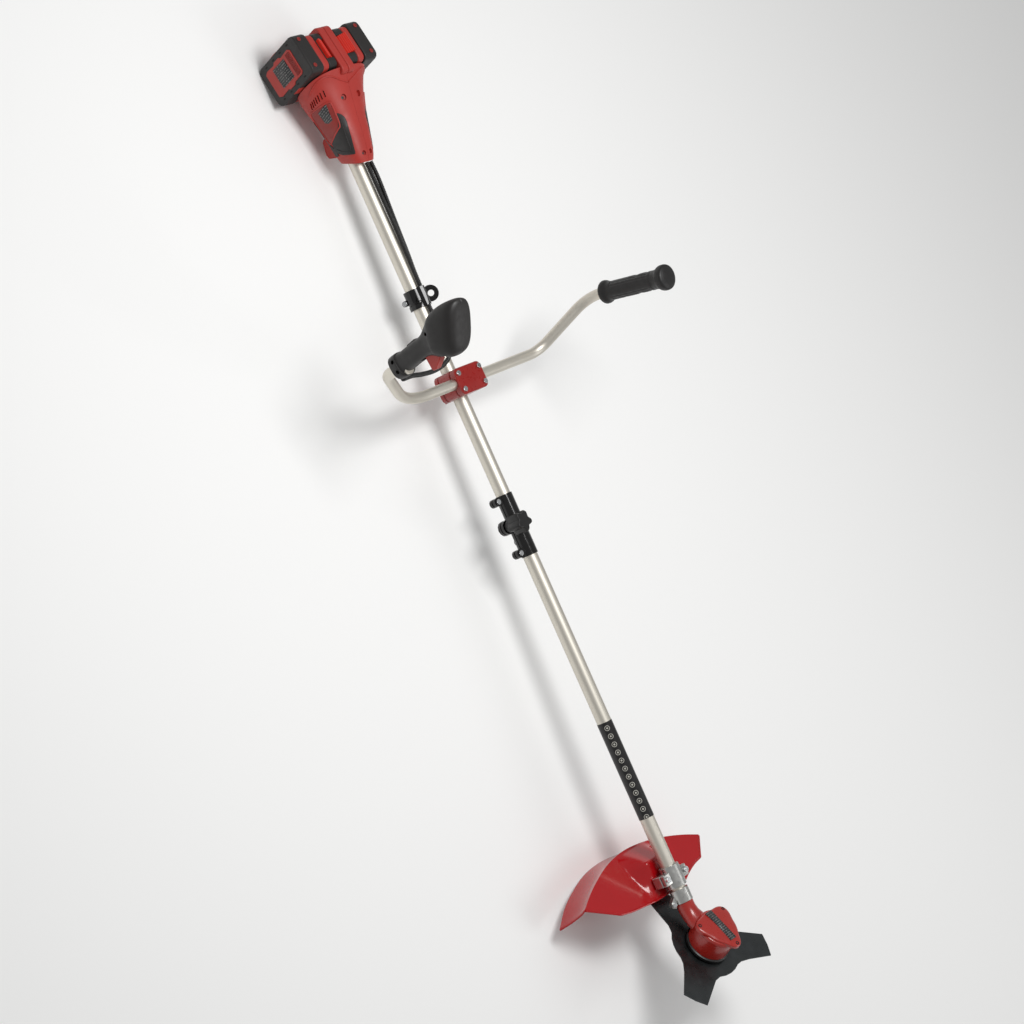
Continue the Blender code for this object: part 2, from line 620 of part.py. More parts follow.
def coupling(shades):
    """A split clamp round both tubes: two screws, one big knob, and a spring button for the lower tube."""
    housing = add("coupling_body", rod(COUPLING_R, *COUPLING, 32), shades["gloss black"], ALONG,
                  pivot=(KNOB_X, 0, 0))
    seat = axes_matrix((SPRING_BUTTON_X, 0, 0), (1, 0, 0), (0, 0.3, -0.95))
    ears = [lug(COUPLING[0] + 7.8, 7.4, "lug_rear"), lug(COUPLING[1] - 9.5, 7.4, "lug_front"),
            lug(KNOB_X, 13.0, "lug_middle"), tool("button_boss", rod(8.5, 8.0, 18.6), seat)]
    combine(housing, ears, "UNION")
    slit = tool("coupling_slit", box((COUPLING[0] - 5, -60, -0.9), (COUPLING[1] + 5, -9, 1.1)))
    bore = tool("coupling_bore", rod(TUBE_R + GAP, COUPLING[0] - 5, COUPLING[1] + 5, 32), ALONG)
    button_hole = tool("button_hole", rod(5.6, 5, 40), seat)
    knob_seat = Matrix.Translation((KNOB_X, LUG_Y, 0))
    knob_hole = tool("knob_hole", rod(3.6, -30, 30), knob_seat)
    cuts = [slit, bore, button_hole, knob_hole]
    screw = ((0, -7.5), (2.4, -7.5), (2.4, 7.0), (4.6, 7.0), (4.6, 10.2), (0, 10.2))
    for label, x in (("rear", COUPLING[0] + 7.8), ("front", COUPLING[1] - 9.5)):
        centre = Matrix.Translation((x, LUG_Y + 0.5, 0))
        cuts.append(tool(f"coupling_screw_hole_{label}", rod(2.8, -30, 30, 12), centre))
        add(f"coupling_screw_{label}", turned(screw, 12), shades["zinc"], centre)
    combine(housing, cuts)
    knob(shades["black"], knob_seat)
    button = ((0, 16.2), (5.2, 16.2), (5.2, 20.8), (4.2, 21.8), (0, 21.8))
    add("spring_button", turned(button, 16), shades["zinc"], seat)


def knob(material, seat):
    """A lobed knob on its stud: five lobes, on a narrower collar."""
    count = 40
    radii = [16.6 + 3.2 * cos(5 * 2 * pi * i / count) for i in range(count)]
    rings = []
    for height, share in ((18.0, 0.86), (21.0, 1.0), (44.0, 1.0), (47.5, 0.88)):
        rings.append([(r * share * cos(2 * pi * i / count), r * share * sin(2 * pi * i / count), height)
                      for i, r in enumerate(radii)])
    item = add("coupling_knob", loft(rings), material, seat)
    stem = turned(((0, -14.0), (6.0, -14.0), (6.0, -7.0), (3.2, -7.0), (3.2, 7.0), (10.5, 7.0), (10.5, 19.0),
                   (0, 19.0)), 24)
    combine(item, [tool("knob_stem", stem, seat)], "UNION")


# ---------------------------------------------------------------- guard and its clamp

# Guard edges in the head's frame, from the right end to the left: X and Y in the blade's plane
GUARD_INNER = ((-118, -124), (-112, -98), (-109, -72), (-106, -44), (-105, -16), (-105, 16), (-106, 40),
               (-116, 66), (-124, 92), (-128, 116))
GUARD_CREASE = ((-157, -184), (-176, -146), (-192, -106), (-203, -70), (-209, -32), (-209, 4), (-203, 44),
                (-192, 84), (-178, 120), (-163, 150))
GUARD_SKIRT = ((-169, -200), (-196, -156), (-216, -108), (-228, -66), (-232, -26), (-230, 10), (-223, 52),
               (-211, 94), (-196, 132), (-180, 164))
GUARD_WALL = 3.0
CREASE_H = 30.0
INNER_H = 27.0
SKIRT_H = -29.0


def guard_ridge(x, y):
    """Extra height of the raised strip that follows the underside of the shaft."""
    across = max(0.0, 1.0 - max(0.0, abs(y) - 24.0) / 22.0)
    under_shaft = (-x - 108.0) * 0.524
    over_edge = max(0.0, (x + 206.0) * 0.62)
    return across * max(0.0, min(under_shaft, over_edge))


def guard_rows():
    """Rows across the guard, from its inner edge over the crease to the skirt's lower edge."""
    rows = []
    for inner, crease, low in zip(GUARD_INNER, GUARD_CREASE, GUARD_SKIRT):
        row = []
        for i in range(8):
            t = i / 8
            x = inner[0] + (crease[0] - inner[0]) * t
            y = inner[1] + (crease[1] - inner[1]) * t
            row.append(Vector((x, y, INNER_H + (CREASE_H - INNER_H) * t + guard_ridge(x, y))))
        for t, h in ((0.0, CREASE_H), (0.12, CREASE_H - 5.0), (0.35, CREASE_H - 20.0), (1.0, SKIRT_H)):
            x = crease[0] + (low[0] - crease[0]) * t
            y = crease[1] + (low[1] - crease[1]) * t
            row.append(Vector((x, y, h)))
        rows.append(row)
    return rows


def guard(shades):
    panel = add("guard", sheet(guard_rows(), GUARD_WALL), shades["gloss red"], HEAD, sharp=60)
    holes = []
    for label, y in (("left", 25.0), ("right", -25.0)):
        centre = Matrix.Translation((CLAMP_X, y, 0))
        holes.append(tool(f"guard_bolt_hole_{label}", rod(3.1, -60, 40, 12), centre))
        bolt = ((0, -19.5), (2.7, -19.5), (2.7, 9.3), (5.2, 9.3), (5.2, 13.5), (0, 13.5))
        add(f"guard_bolt_{label}", turned(bolt, 12), shades["zinc"], centre)
    bore = tool("clamp_bore", rod(TUBE_R + GAP, CLAMP_X - 40, CLAMP_X + 40, 32), ALONG)
    for label, ear_low, ear_high, cut_low, cut_high in (("upper", 0.8, 9.0, -60.0, 0.8),
                                                        ("lower", -19.0, -0.8, -0.8, 60.0)):
        ring = tool(f"clamp_ring_{label}", rod(18.0, CLAMP_X - 19.0, CLAMP_X + 19.0, 32), ALONG)
        half = add(f"guard_clamp_{label}", box((CLAMP_X - 10, -31, ear_low), (CLAMP_X + 10, 31, ear_high)),
                   shades["cast silver"], bevel=1.0)
        trim = tool(f"clamp_trim_{label}", box((CLAMP_X - 30, -50, cut_low), (CLAMP_X + 30, 50, cut_high)))
        combine(half, [ring], "UNION")
        combine(half, [bore, trim, *holes])


# ---------------------------------------------------------------- cutting head

CAN_R = 37.5
CAP_LOBES = (radians(2), radians(125), radians(238))


# Neck stations: X, Z, rise of its direction, half width, half height
NECK_STATIONS = (
    (962.0, 0.0, 0.0, 15.6, 15.6),
    (974.0, 0.4, radians(4), 15.8, 15.6),
    (985.0, 3.0, radians(15), 17.0, 15.2),
    (996.0, 8.5, radians(25), 20.5, 14.6),
    (1014.0, 18.2, HEAD_TILT, 23.0, 14.4),
)


def neck_ring(station, count=24):
    x, z, rise, half_y, half_z = station
    up = Vector((-sin(rise), 0, cos(rise)))
    ring = superellipse(half_y, half_z, 2.0, count)
    return [Vector((x, y, z)) + up * high for y, high in ring]


def head(shades):
    """Motor housing with its neck, cap, base ring, stator, and everything that spins on the blade's axis."""
    can = ((0, 11.5), (CAN_R, 11.5), (CAN_R, 45.5), (0, 45.5))
    housing = add("motor_housing", turned(can, 40), shades["painted red"], HEAD)
    neck = tool("neck", loft([neck_ring(station) for station in NECK_STATIONS]))
    room = tool("motor_room", rod(CAN_R - 3.2, 8.0, 60.0, 40), HEAD)
    socket = tool("neck_bore", rod(TUBE_R + GAP, 950.0, LOWER_TUBE[1] + GAP, 32), ALONG)
    wire_way = tool("wire_way", rod(6.0, 940.0, 1030.0, 16), ALONG)
    combine(housing, [neck], "UNION")
    combine(housing, [room, socket, wire_way])
    cap = add("motor_cap", turned(((0, 46.0), (CAN_R, 46.0), (CAN_R, 51.0), (33.0, 58.5), (0, 59.5)), 40),
              shades["painted red"], HEAD)
    lobes = []
    for i, angle in enumerate(CAP_LOBES):
        centre = Matrix.Translation((39.5 * cos(angle), 39.5 * sin(angle), 0))
        lobes.append(tool(f"cap_lobe_{i + 1}", turned(((0, 46.0), (7.6, 46.0), (7.6, 55.5), (0, 57.0)), 16),
                          HEAD @ centre))
    combine(cap, lobes, "UNION")
    ring = ((28.5, 5.0), (40.0, 5.0), (40.0, 9.5), (CAN_R - 1, 11.2), (28.5, 11.2))
    add("motor_base_ring", turned(ring, 40), shades["black"], HEAD)
    bearing = ((6.3, 11.5), (14.0, 11.5), (14.0, 17.0), (6.3, 17.0))
    add("spindle_bearing", turned(bearing), shades["zinc"], HEAD)
    stator = ((23.0, 18.0), (34.0, 18.0), (34.0, 38.0), (23.0, 38.0))
    add("motor_stator", turned(stator), shades["copper"], HEAD)
    spindle = ((0, -16.0), (6.0, -16.0), (6.0, 17.4), (22.4, 18.4), (22.4, 37.6), (6.0, 38.4), (6.0, 43.0),
               (0, 43.0))
    add("rotor_spindle", turned(spindle), shades["steel"], HEAD)
    flange = ((6.3, BLADE_HALF + GAP), (27.5, BLADE_HALF + GAP), (27.5, 3.4), (20.0, 4.6), (6.3, 4.6))
    add("blade_flange", turned(flange), shades["steel"], HEAD)
    nut = ((6.3, -BLADE_HALF - GAP), (25.0, -BLADE_HALF - GAP), (25.0, -3.0), (16.0, -7.0), (11.0, -7.0),
           (11.0, -13.0), (6.3, -13.0))
    add("blade_nut", turned(nut, 24), shades["zinc"], HEAD)
    add("blade", prism(blade_outline(), -BLADE_HALF, BLADE_HALF), shades["blade steel"], HEAD)
    bore = tool("blade_bore", rod(6.3, -5, 5, 24), HEAD)
    combine(bpy.data.objects["blade"], [bore])
    neck_bracket(shades)


def polar(radius, angle):
    return (radius * cos(radians(angle)), radius * sin(radians(angle)))


def blade_outline():
    """Three teeth on a round hub: each leans back, hollow on its cutting side."""
    outline = []
    for tooth in range(TEETH):
        turn = tooth * 360 / TEETH
        outline += [polar(BLADE_HUB_R, turn + a) for a in (-24, -12, 0, 12, 24)]
        outline += [polar(BLADE_HUB_R + 5, turn + 33), polar(84.0, turn + 42), polar(BLADE_R, turn + 52)]
        outline += [polar(BLADE_R, turn + 62), polar(BLADE_R, turn + 72), polar(72.0, turn + 86)]
    return outline


def neck_bracket(shades):
    """The pinched sleeve that holds the head's neck on the lower tube."""
    sleeve = add("neck_bracket", rod(17.0, 938.0, 961.4, 32), shades["cast silver"], ALONG, pivot=(950, 0, 0))
    place = axes_matrix((954.0, 0, 0), (1, 0, 0), (0, -0.426, 0.905))
    outline = ((-10, -13.5), (2, -25.5), (9, -25.5), (12, -20), (7.4, -17.2), (7.4, -13.5))
    ears = tool("neck_ears", prism(outline, -6.5, 6.5), place)
    slit = tool("neck_slit", box((-30, -40, -1.0), (30, -10, 1.0)), place)
    centre = place @ Matrix.Translation((5.0, -21.0, 0))
    hole = tool("neck_screw_hole", rod(2.6, -20, 20, 12), centre)
    bore = tool("neck_ring_bore", rod(TUBE_R + GAP, 930, 970, 32), ALONG)
    combine(sleeve, [ears], "UNION")
    combine(sleeve, [slit, hole, bore])
    screw = ((0, -8.5), (2.2, -8.5), (2.2, 6.9), (4.0, 6.9), (4.0, 10.2), (0, 10.2))
    add("neck_screw", turned(screw, 12), shades["zinc"], centre)


# ---------------------------------------------------------------- the whole machine

def lay_down(machine):
    """Leans the machine and puts the middle of its footprint on the origin, with its lowest point at 0."""
    machine.rotation_euler = (0, LEAN, 0)
    bpy.context.view_layer.update()
    graph = bpy.context.evaluated_depsgraph_get()
    corners = []
    for item in bpy.data.objects:
        if item.type == "EMPTY" or item.hide_render:
            continue
        final = item.evaluated_get(graph)
        mesh = final.to_mesh()
        corners += [item.matrix_world @ vertex.co for vertex in mesh.vertices]
        final.to_mesh_clear()
    low = [min(c[i] for c in corners) for i in range(3)]
    high = [max(c[i] for c in corners) for i in range(3)]
    machine.location = (-(low[0] + high[0]) / 2, -(low[1] + high[1]) / 2, -low[2])
    bpy.context.view_layer.update()


def main():
    clear_scene()
    machine = bpy.data.objects.new("machine", None)
    bpy.context.scene.collection.objects.link(machine)
    shades = {
        "moulded red": finish("moulded red", (0.43, 0.035, 0.03), 0.5),
        "bright red": finish("bright red", (0.62, 0.02, 0.01), 0.4),
        "gloss red": finish("gloss red", (0.40, 0.012, 0.012), 0.15),
        "painted red": finish("painted red", (0.46, 0.025, 0.015), 0.3),
        "charcoal": finish("charcoal", (0.035, 0.032, 0.03), 0.55),
        "black": finish("black", (0.01, 0.01, 0.01), 0.45),
        "gloss black": finish("gloss black", (0.006, 0.006, 0.006), 0.12),
        "rubber": finish("rubber", (0.012, 0.011, 0.01), 0.7),
        "aluminium": finish("aluminium", (0.62, 0.59, 0.54), 0.35, 1.0),
        "cast silver": finish("cast silver", (0.5, 0.5, 0.49), 0.3, 1.0),
        "zinc": finish("zinc", (0.7, 0.71, 0.72), 0.22, 1.0),
        "steel": finish("steel", (0.4, 0.4, 0.4), 0.3, 1.0),
        "blade steel": finish("blade steel", (0.06, 0.065, 0.065), 0.3, 0.8),
        "copper": finish("copper", (0.6, 0.3, 0.18), 0.35, 1.0),
        "board green": finish("board green", (0.02, 0.12, 0.05), 0.5),
    }
    rear_unit(shades)
    shaft(shades)
    handlebar(shades)
    bracket(shades)
    trigger_handle(shades)
    coupling(shades)
    guard(shades)
    head(shades)
    lay_down(machine)


main()
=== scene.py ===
"""The looks of a cordless brush cutter, built round its packed frame.

Shapes are drawn in the machine's own millimetres: X runs along the shaft towards the blade, Y is the
operator's left, Z is up from the shaft, and the origin is on the shaft under the handlebar.
"""

import json
from math import cos, pi, radians, sin

import bmesh
import bpy
import numpy as np
from mathutils import Euler, Matrix

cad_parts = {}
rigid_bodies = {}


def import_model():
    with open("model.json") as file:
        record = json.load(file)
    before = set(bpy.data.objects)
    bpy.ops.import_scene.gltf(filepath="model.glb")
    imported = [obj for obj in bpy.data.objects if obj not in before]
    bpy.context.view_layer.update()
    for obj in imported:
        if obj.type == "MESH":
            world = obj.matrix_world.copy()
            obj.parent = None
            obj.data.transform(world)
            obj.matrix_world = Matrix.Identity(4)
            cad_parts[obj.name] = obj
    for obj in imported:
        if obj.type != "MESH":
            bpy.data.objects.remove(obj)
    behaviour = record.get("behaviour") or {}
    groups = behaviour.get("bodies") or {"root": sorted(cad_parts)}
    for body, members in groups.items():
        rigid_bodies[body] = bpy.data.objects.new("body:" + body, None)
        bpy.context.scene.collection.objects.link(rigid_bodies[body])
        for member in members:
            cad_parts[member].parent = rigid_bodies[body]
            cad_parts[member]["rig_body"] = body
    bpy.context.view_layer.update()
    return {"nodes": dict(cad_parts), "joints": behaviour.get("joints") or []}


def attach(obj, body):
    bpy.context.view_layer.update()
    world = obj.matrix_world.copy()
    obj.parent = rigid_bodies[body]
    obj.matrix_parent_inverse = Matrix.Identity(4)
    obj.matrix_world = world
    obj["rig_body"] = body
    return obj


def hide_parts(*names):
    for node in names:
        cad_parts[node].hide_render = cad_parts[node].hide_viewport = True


bl_info = {
    "name": "Brush Cutter Looks",
    "version": (1, 0, 0),
    "blender": (4, 5, 0),
    "location": "View3D > Sidebar > Brush Cutter",
    "description": "Builds the finished surfaces and materials of a cordless brush cutter on its frame",
    "category": "Object",
}

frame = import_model()
MM = 0.001
JOINTS = {joint["name"]: joint for joint in frame["joints"]}

# The head's place on the shaft, in the shaft's millimetres
HEAD_CENTRE = (1045.0, 0.0, 4.0)
HEAD_TILT = radians(27.6)
BAY_CORNER = (-613.4, 0.0, -46.4)
BAY_TILT = radians(12.0)
HANDLE_ORIGIN = (-50.0, -257.0, 140.0)
HANDLE_AXIS = (-0.118, 0.0, 0.993)

# The shaft's own directions in the row frame, from the joints that follow them
SHAFT_X = np.array(JOINTS["shaft_pull"]["axis"], float)
SHAFT_Z = np.array(JOINTS["knob_turn"]["axis"], float)
SHAFT_TURN = np.column_stack((SHAFT_X, np.cross(SHAFT_Z, SHAFT_X), SHAFT_Z))
SHAFT_ORIGIN = np.array(JOINTS["blade_spin"]["pos_m"], float) - SHAFT_TURN @ (np.array(HEAD_CENTRE) * MM)


# ---------------------------------------------------------------- places

def axes(origin, x_axis, z_axis):
    """A place in the shaft's millimetres: its origin, and the directions of its own X, Y and Z."""
    z = np.array(z_axis, float)
    z /= np.linalg.norm(z)
    x = np.array(x_axis, float)
    x -= z * x.dot(z)
    x /= np.linalg.norm(x)
    return np.array(origin, float), np.column_stack((x, np.cross(z, x), z))


SHAFT = axes((0, 0, 0), (1, 0, 0), (0, 0, 1))
ALONG = axes((0, 0, 0), (0, 0, 1), (1, 0, 0))
BAY = axes(BAY_CORNER, (cos(BAY_TILT), 0, sin(BAY_TILT)), (-sin(BAY_TILT), 0, cos(BAY_TILT)))
HEAD = axes(HEAD_CENTRE, (cos(HEAD_TILT), 0, sin(HEAD_TILT)), (-sin(HEAD_TILT), 0, cos(HEAD_TILT)))
HANDLE = axes(HANDLE_ORIGIN, (1, 0, 0), HANDLE_AXIS)


def world(points, place=SHAFT):
    """Points of a place, in millimetres, as points of the row frame, in metres."""
    origin, turn = place
    local = np.asarray(points, float) @ turn.T + origin
    return local * MM @ SHAFT_TURN.T + SHAFT_ORIGIN


# ---------------------------------------------------------------- surfaces

def surface(name, grid, place=SHAFT, wrap_rows=False, wrap_columns=True, caps=False, uv=None, sharp=35.0):
    """A mesh over a grid of points: each cell of neighbouring rows and columns is one face.

    uv gives the millimetres along the rows and along the columns, one more where they wrap.
    """
    rows, columns = grid.shape[:2]
    row = np.arange(rows if wrap_rows else rows - 1)
    column = np.arange(columns if wrap_columns else columns - 1)
    r, c = (part.ravel() for part in np.meshgrid(row, column, indexing="ij"))
    near = r * columns
    far = (r + 1) % rows * columns
    right = (c + 1) % columns
    faces = np.stack((near + c, near + right, far + right, far + c), -1).tolist()
    if caps:
        faces += [list(range(columns))[::-1], list(range((rows - 1) * columns, rows * columns))]
    mesh = bpy.data.meshes.new(name)
    mesh.from_pydata(world(grid.reshape(-1, 3), place), [], faces)
    if uv is not None:
        u, v = (np.asarray(part, float) for part in uv)
        corners = np.stack((np.stack((u[r], v[c]), -1), np.stack((u[r], v[c + 1]), -1),
                            np.stack((u[r + 1], v[c + 1]), -1), np.stack((u[r + 1], v[c]), -1)), 1)
        flat = np.zeros((len(mesh.loops), 2))
        flat[:len(r) * 4] = corners.reshape(-1, 2)
        mesh.uv_layers.new(name="UVMap").data.foreach_set("uv", flat.ravel())
    return tidy_mesh(mesh, sharp)


def tidy_mesh(mesh, sharp, recalculate=True, flatten=False):
    """Merges doubles, points the faces outwards and marks edges above the angle as sharp."""
    shape = bmesh.new()
    shape.from_mesh(mesh)
    bmesh.ops.remove_doubles(shape, verts=shape.verts, dist=1e-6)
    if flatten:
        bmesh.ops.dissolve_limit(shape, angle_limit=radians(1.5), verts=shape.verts, edges=shape.edges)
    if recalculate:
        bmesh.ops.recalc_face_normals(shape, faces=shape.faces)
    shape.to_mesh(mesh)
    shape.free()
    mesh.shade_smooth()
    mesh.set_sharp_from_angle(angle=radians(sharp))
    return mesh


def spline(points, per_span):
    """The Catmull-Rom curve through the points, as one array.

    Between b and c it is half of 2b + (c - a)t + (2a - 5b + 4c - d)t^2 + (3b - a - 3c + d)t^3.
    """
    p = np.asarray(points, float)
    p = np.vstack((2 * p[0] - p[1], p, 2 * p[-1] - p[-2]))
    a, b, c, d = (part[:, None] for part in (p[:-3], p[1:-2], p[2:-1], p[3:]))
    t = (np.arange(per_span) / per_span)[None, :, None]
    curve = (2 * b + (c - a) * t + (2 * a - 5 * b + 4 * c - d) * t ** 2
             + (3 * b - a - 3 * c + d) * t ** 3) / 2
    return np.vstack((curve.reshape(-1, p.shape[1]), p[-2]))


def even(path, step):
    """The path's points again at an even distance, with the distance of each."""
    reach = np.concatenate(([0.0], np.cumsum(np.linalg.norm(np.diff(path, axis=0), axis=1))))
    at = np.linspace(0, reach[-1], max(2, int(reach[-1] / step)))
    return np.column_stack([np.interp(at, reach, path[:, i]) for i in range(3)]), at


def swept(path, radius, sides, reference):
    """Rings of a round section carried along the path: p + r(side cos a + up sin a), square to the path."""
    ahead = np.gradient(path, axis=0)
    ahead /= np.linalg.norm(ahead, axis=1)[:, None]
    side = np.cross(np.broadcast_to(np.array(reference, float), ahead.shape), ahead)
    side /= np.linalg.norm(side, axis=1)[:, None]
    up = np.cross(ahead, side)
    a = np.linspace(0, 2 * pi, sides, endpoint=False)[None, :, None]
    r = np.broadcast_to(np.asarray(radius, float), len(path))[:, None, None]
    return path[:, None] + (side[:, None] * np.cos(a) + up[:, None] * np.sin(a)) * r


def revolved(profile, sides=64):
    """A profile of (radius, height) points turned about Z: (r cos a, r sin a, z)."""
    r, z = np.array(profile, float).T
    a = np.linspace(0, 2 * pi, sides, endpoint=False)
    return np.stack((np.outer(r, np.cos(a)), np.outer(r, np.sin(a)), np.outer(z, np.ones(sides))), -1)


def rounded(low, high, radius, steps=6):
    """A rectangle with round corners: each corner's centre plus r(cos a, sin a) over its quarter."""
    centres = np.array(((high[0] - radius, high[1] - radius), (low[0] + radius, high[1] - radius),
                        (low[0] + radius, low[1] + radius), (high[0] - radius, low[1] + radius)))
    a = (np.arange(4)[:, None] + np.linspace(0, 1, steps + 1)[None]) * pi / 2
    return (centres[:, None] + radius * np.stack((np.cos(a), np.sin(a)), -1)).reshape(-1, 2)


def slab(outline, low, high, plane="xy"):
    """An outline carried from low to high square to its plane, as two rows of a grid."""
    outline = np.asarray(outline, float)
    first, second = outline[:, 0], outline[:, 1]
    rows = []
    for level in (low, high):
        third = np.full(len(outline), float(level))
        rows.append(np.column_stack((first, second, third) if plane == "xy" else (first, third, second)))
    return np.stack(rows)


def plate(name, low, high, levels, place, plane):
    """A flat closed plate between two corners, with its own millimetres as UV over its outer face."""
    first = np.array(((low[0], high[0]),) * 4)
    second = np.array(((low[1],) * 2, (high[1],) * 2, (high[1],) * 2, (low[1],) * 2))
    third = np.array(((levels[1],) * 2, (levels[1],) * 2, (levels[0],) * 2, (levels[0],) * 2))
    grid = np.stack((first, second, third) if plane == "xy" else (first, third, second), -1)
    tall, wide = high[1] - low[1], high[0] - low[0]
    reach = (np.array((0.0, tall, tall, 2 * tall, 2 * tall)), np.array((0.0, wide)))
    return close_sides(surface(name, grid, place, wrap_rows=True, wrap_columns=False, uv=reach))


def superellipse(half_x, half_y, power, angles):
    """Points of |x/a|^n + |y/b|^n = 1 at the angles t: (a k cos t, b k sin t).

    k is |cos t|^n + |sin t|^n to the power of -1/n.
    """
    c, s = np.cos(angles), np.sin(angles)
    k = (np.abs(c) ** power + np.abs(s) ** power) ** (-1 / power)
    return half_x * k * c, half_y * k * s


# ---------------------------------------------------------------- pieces

def piece(name, mesh, material, nodes=(), body=None, bevel=0.0, segments=2):
    """Puts the mesh in the scene as a finished piece that rides on a body and stands for the CAD nodes."""
    item = bpy.data.objects.new(name, mesh)
    bpy.context.scene.collection.objects.link(item)
    mesh.materials.clear()
    mesh.materials.append(material)
    if bevel:
        edge = item.modifiers.new("edge", "BEVEL")
        edge.width = bevel * MM
        edge.segments = segments
        edge.limit_method = "ANGLE"
        edge.angle_limit = radians(35)
        edge.harden_normals = True
    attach(item, body or frame["nodes"][nodes[0]]["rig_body"])
    if nodes:
        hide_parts(*nodes)
    return item


def refined(node, material, bevel=0.0, sharp=35.0, segments=2):
    """A smooth copy of a CAD node: its loose triangles joined, its flat faces whole, its edges rounded."""
    mesh = frame["nodes"][node].data.copy()
    mesh.name = node + "_look"
    mesh = tidy_mesh(mesh, sharp, recalculate=False, flatten=True)
    return piece(node + "_look", mesh, material, [node], bevel=bevel, segments=segments)


def carved(item, tools):
    """Cuts the tools out of the piece, leaves it a finished mesh and removes the tools."""
    for tool in tools:
        step = item.modifiers.new("cut", "BOOLEAN")
        step.operation = "DIFFERENCE"
        step.object = tool
        step.solver = "EXACT"
    bpy.context.view_layer.update()
    made = bpy.data.meshes.new_from_object(item.evaluated_get(bpy.context.evaluated_depsgraph_get()))
    item.modifiers.clear()
    item.data = made
    for tool in tools:
        bpy.data.objects.remove(tool)
    tidy_mesh(made, 35.0, recalculate=False)


def cutter(mesh):
    """Puts a mesh in the scene as a tool to cut with."""
    item = bpy.data.objects.new("cutter", mesh)
    bpy.context.scene.collection.objects.link(item)
    return item


# ---------------------------------------------------------------- materials

def linear(code):
    """An sRGB hex colour as linear red, green and blue."""
    parts = [int(code[i:i + 2], 16) / 255 for i in (1, 3, 5)]
    return tuple(c / 12.92 if c <= 0.04045 else ((c + 0.055) / 1.055) ** 2.4 for c in parts)


def add_node(tree, kind, inputs=(), **settings):
    """Adds a node, gives it its settings, and links or sets its inputs."""
    made = tree.nodes.new(kind)
    for name, value in settings.items():
        setattr(made, name, value)
    for name, value in dict(inputs).items():
        if isinstance(value, bpy.types.NodeSocket):
            tree.links.new(value, made.inputs[name])
        else:
            made.inputs[name].default_value = value
    return made


def new_material(name, colour, roughness, **sockets):
    """A material with its Principled shader, on which values that are the same all over are set."""
    material = bpy.data.materials.new(name)
    material.use_nodes = True
    shader = material.node_tree.nodes["Principled BSDF"]
    shader.inputs["Base Color"].default_value = (*colour, 1.0)
    shader.inputs["Roughness"].default_value = roughness
    for socket, value in sockets.items():
        shader.inputs[socket.replace("_", " ")].default_value = value
    return material, material.node_tree, shader


def varied(tree, shader, colour, source, spread=0.12):
    """The colour made a little darker and lighter by the source, as uneven pigment and handling do."""
    dark = (*[c * (1 - spread) for c in colour], 1.0)
    light = (*[min(1.0, c * (1 + spread)) for c in colour], 1.0)
    mix = add_node(tree, "ShaderNodeMix", {0: source, 6: dark, 7: light}, data_type="RGBA")
    tree.links.new(mix.outputs[2], shader.inputs["Base Color"])


def grain(tree, shader, size, strength, depth, detail=3.0, stretch=(1, 1, 1), coordinates="Object"):
    """A noise of the given size in millimetres as relief."""
    place = add_node(tree, "ShaderNodeTexCoord")
    scale = add_node(tree, "ShaderNodeMapping", {"Vector": place.outputs[coordinates], "Scale": stretch})
    noise = add_node(tree, "ShaderNodeTexNoise", {"Vector": scale.outputs[0], "Scale": 1 / (size * MM),
                                                 "Detail": detail})
    bump = add_node(tree, "ShaderNodeBump", {"Height": noise.outputs[0], "Strength": strength,
                                             "Distance": depth * MM})
    tree.links.new(bump.outputs[0], shader.inputs["Normal"])
    return noise


def rough_range(tree, shader, source, low, high):
    """Roughness between low and high, as the middle of the source goes from dark to light."""
    spread = add_node(tree, "ShaderNodeMapRange", {0: source, 1: 0.3, 2: 0.7, 3: low, 4: high})
    tree.links.new(spread.outputs[0], shader.inputs["Roughness"])


def cloud(tree, size, detail=2.0):
    """Slow variation over the given millimetres."""
    place = add_node(tree, "ShaderNodeTexCoord")
    return add_node(tree, "ShaderNodeTexNoise", {"Vector": place.outputs["Object"], "Scale": 1 / (size * MM),
                                                 "Detail": detail}).outputs[0]


def spark_eroded_nylon(name, colour, low=0.42, high=0.56):
    """Glass-filled nylon from a spark-eroded mould: matte, with a fine pebble of about 0.8 mm."""
    material, tree, shader = new_material(name, colour, 0.5, IOR=1.53)
    grain(tree, shader, size=0.8, strength=0.35, depth=0.12)
    slow = cloud(tree, 34.0)
    varied(tree, shader, colour, slow)
    rough_range(tree, shader, cloud(tree, 9.0, 4.0), low, high)
    return material


def polished_abs(name, colour, low=0.10, high=0.2):
    """ABS from a polished mould: wet gloss, a slow waviness of about 14 mm, and faint handling scuffs."""
    material, tree, shader = new_material(name, colour, 0.15, IOR=1.54, Coat_Weight=0.15, Coat_Roughness=0.06,
                                          Specular_IOR_Level=0.4)
    grain(tree, shader, size=14.0, strength=0.25, depth=0.5, detail=1.0)
    varied(tree, shader, colour, cloud(tree, 45.0), 0.08)
    rough_range(tree, shader, cloud(tree, 5.0, 6.0), low, high)
    return material


def painted_casting(name, colour):
    """Enamel sprayed on a die casting: orange peel of about 1.6 mm under a clear gloss."""
    material, tree, shader = new_material(name, colour, 0.3, IOR=1.5, Coat_Weight=0.4, Coat_Roughness=0.1)
    grain(tree, shader, size=1.6, strength=0.3, depth=0.15, detail=1.0)
    varied(tree, shader, colour, cloud(tree, 20.0), 0.1)
    rough_range(tree, shader, cloud(tree, 6.0, 5.0), 0.24, 0.36)
    return material


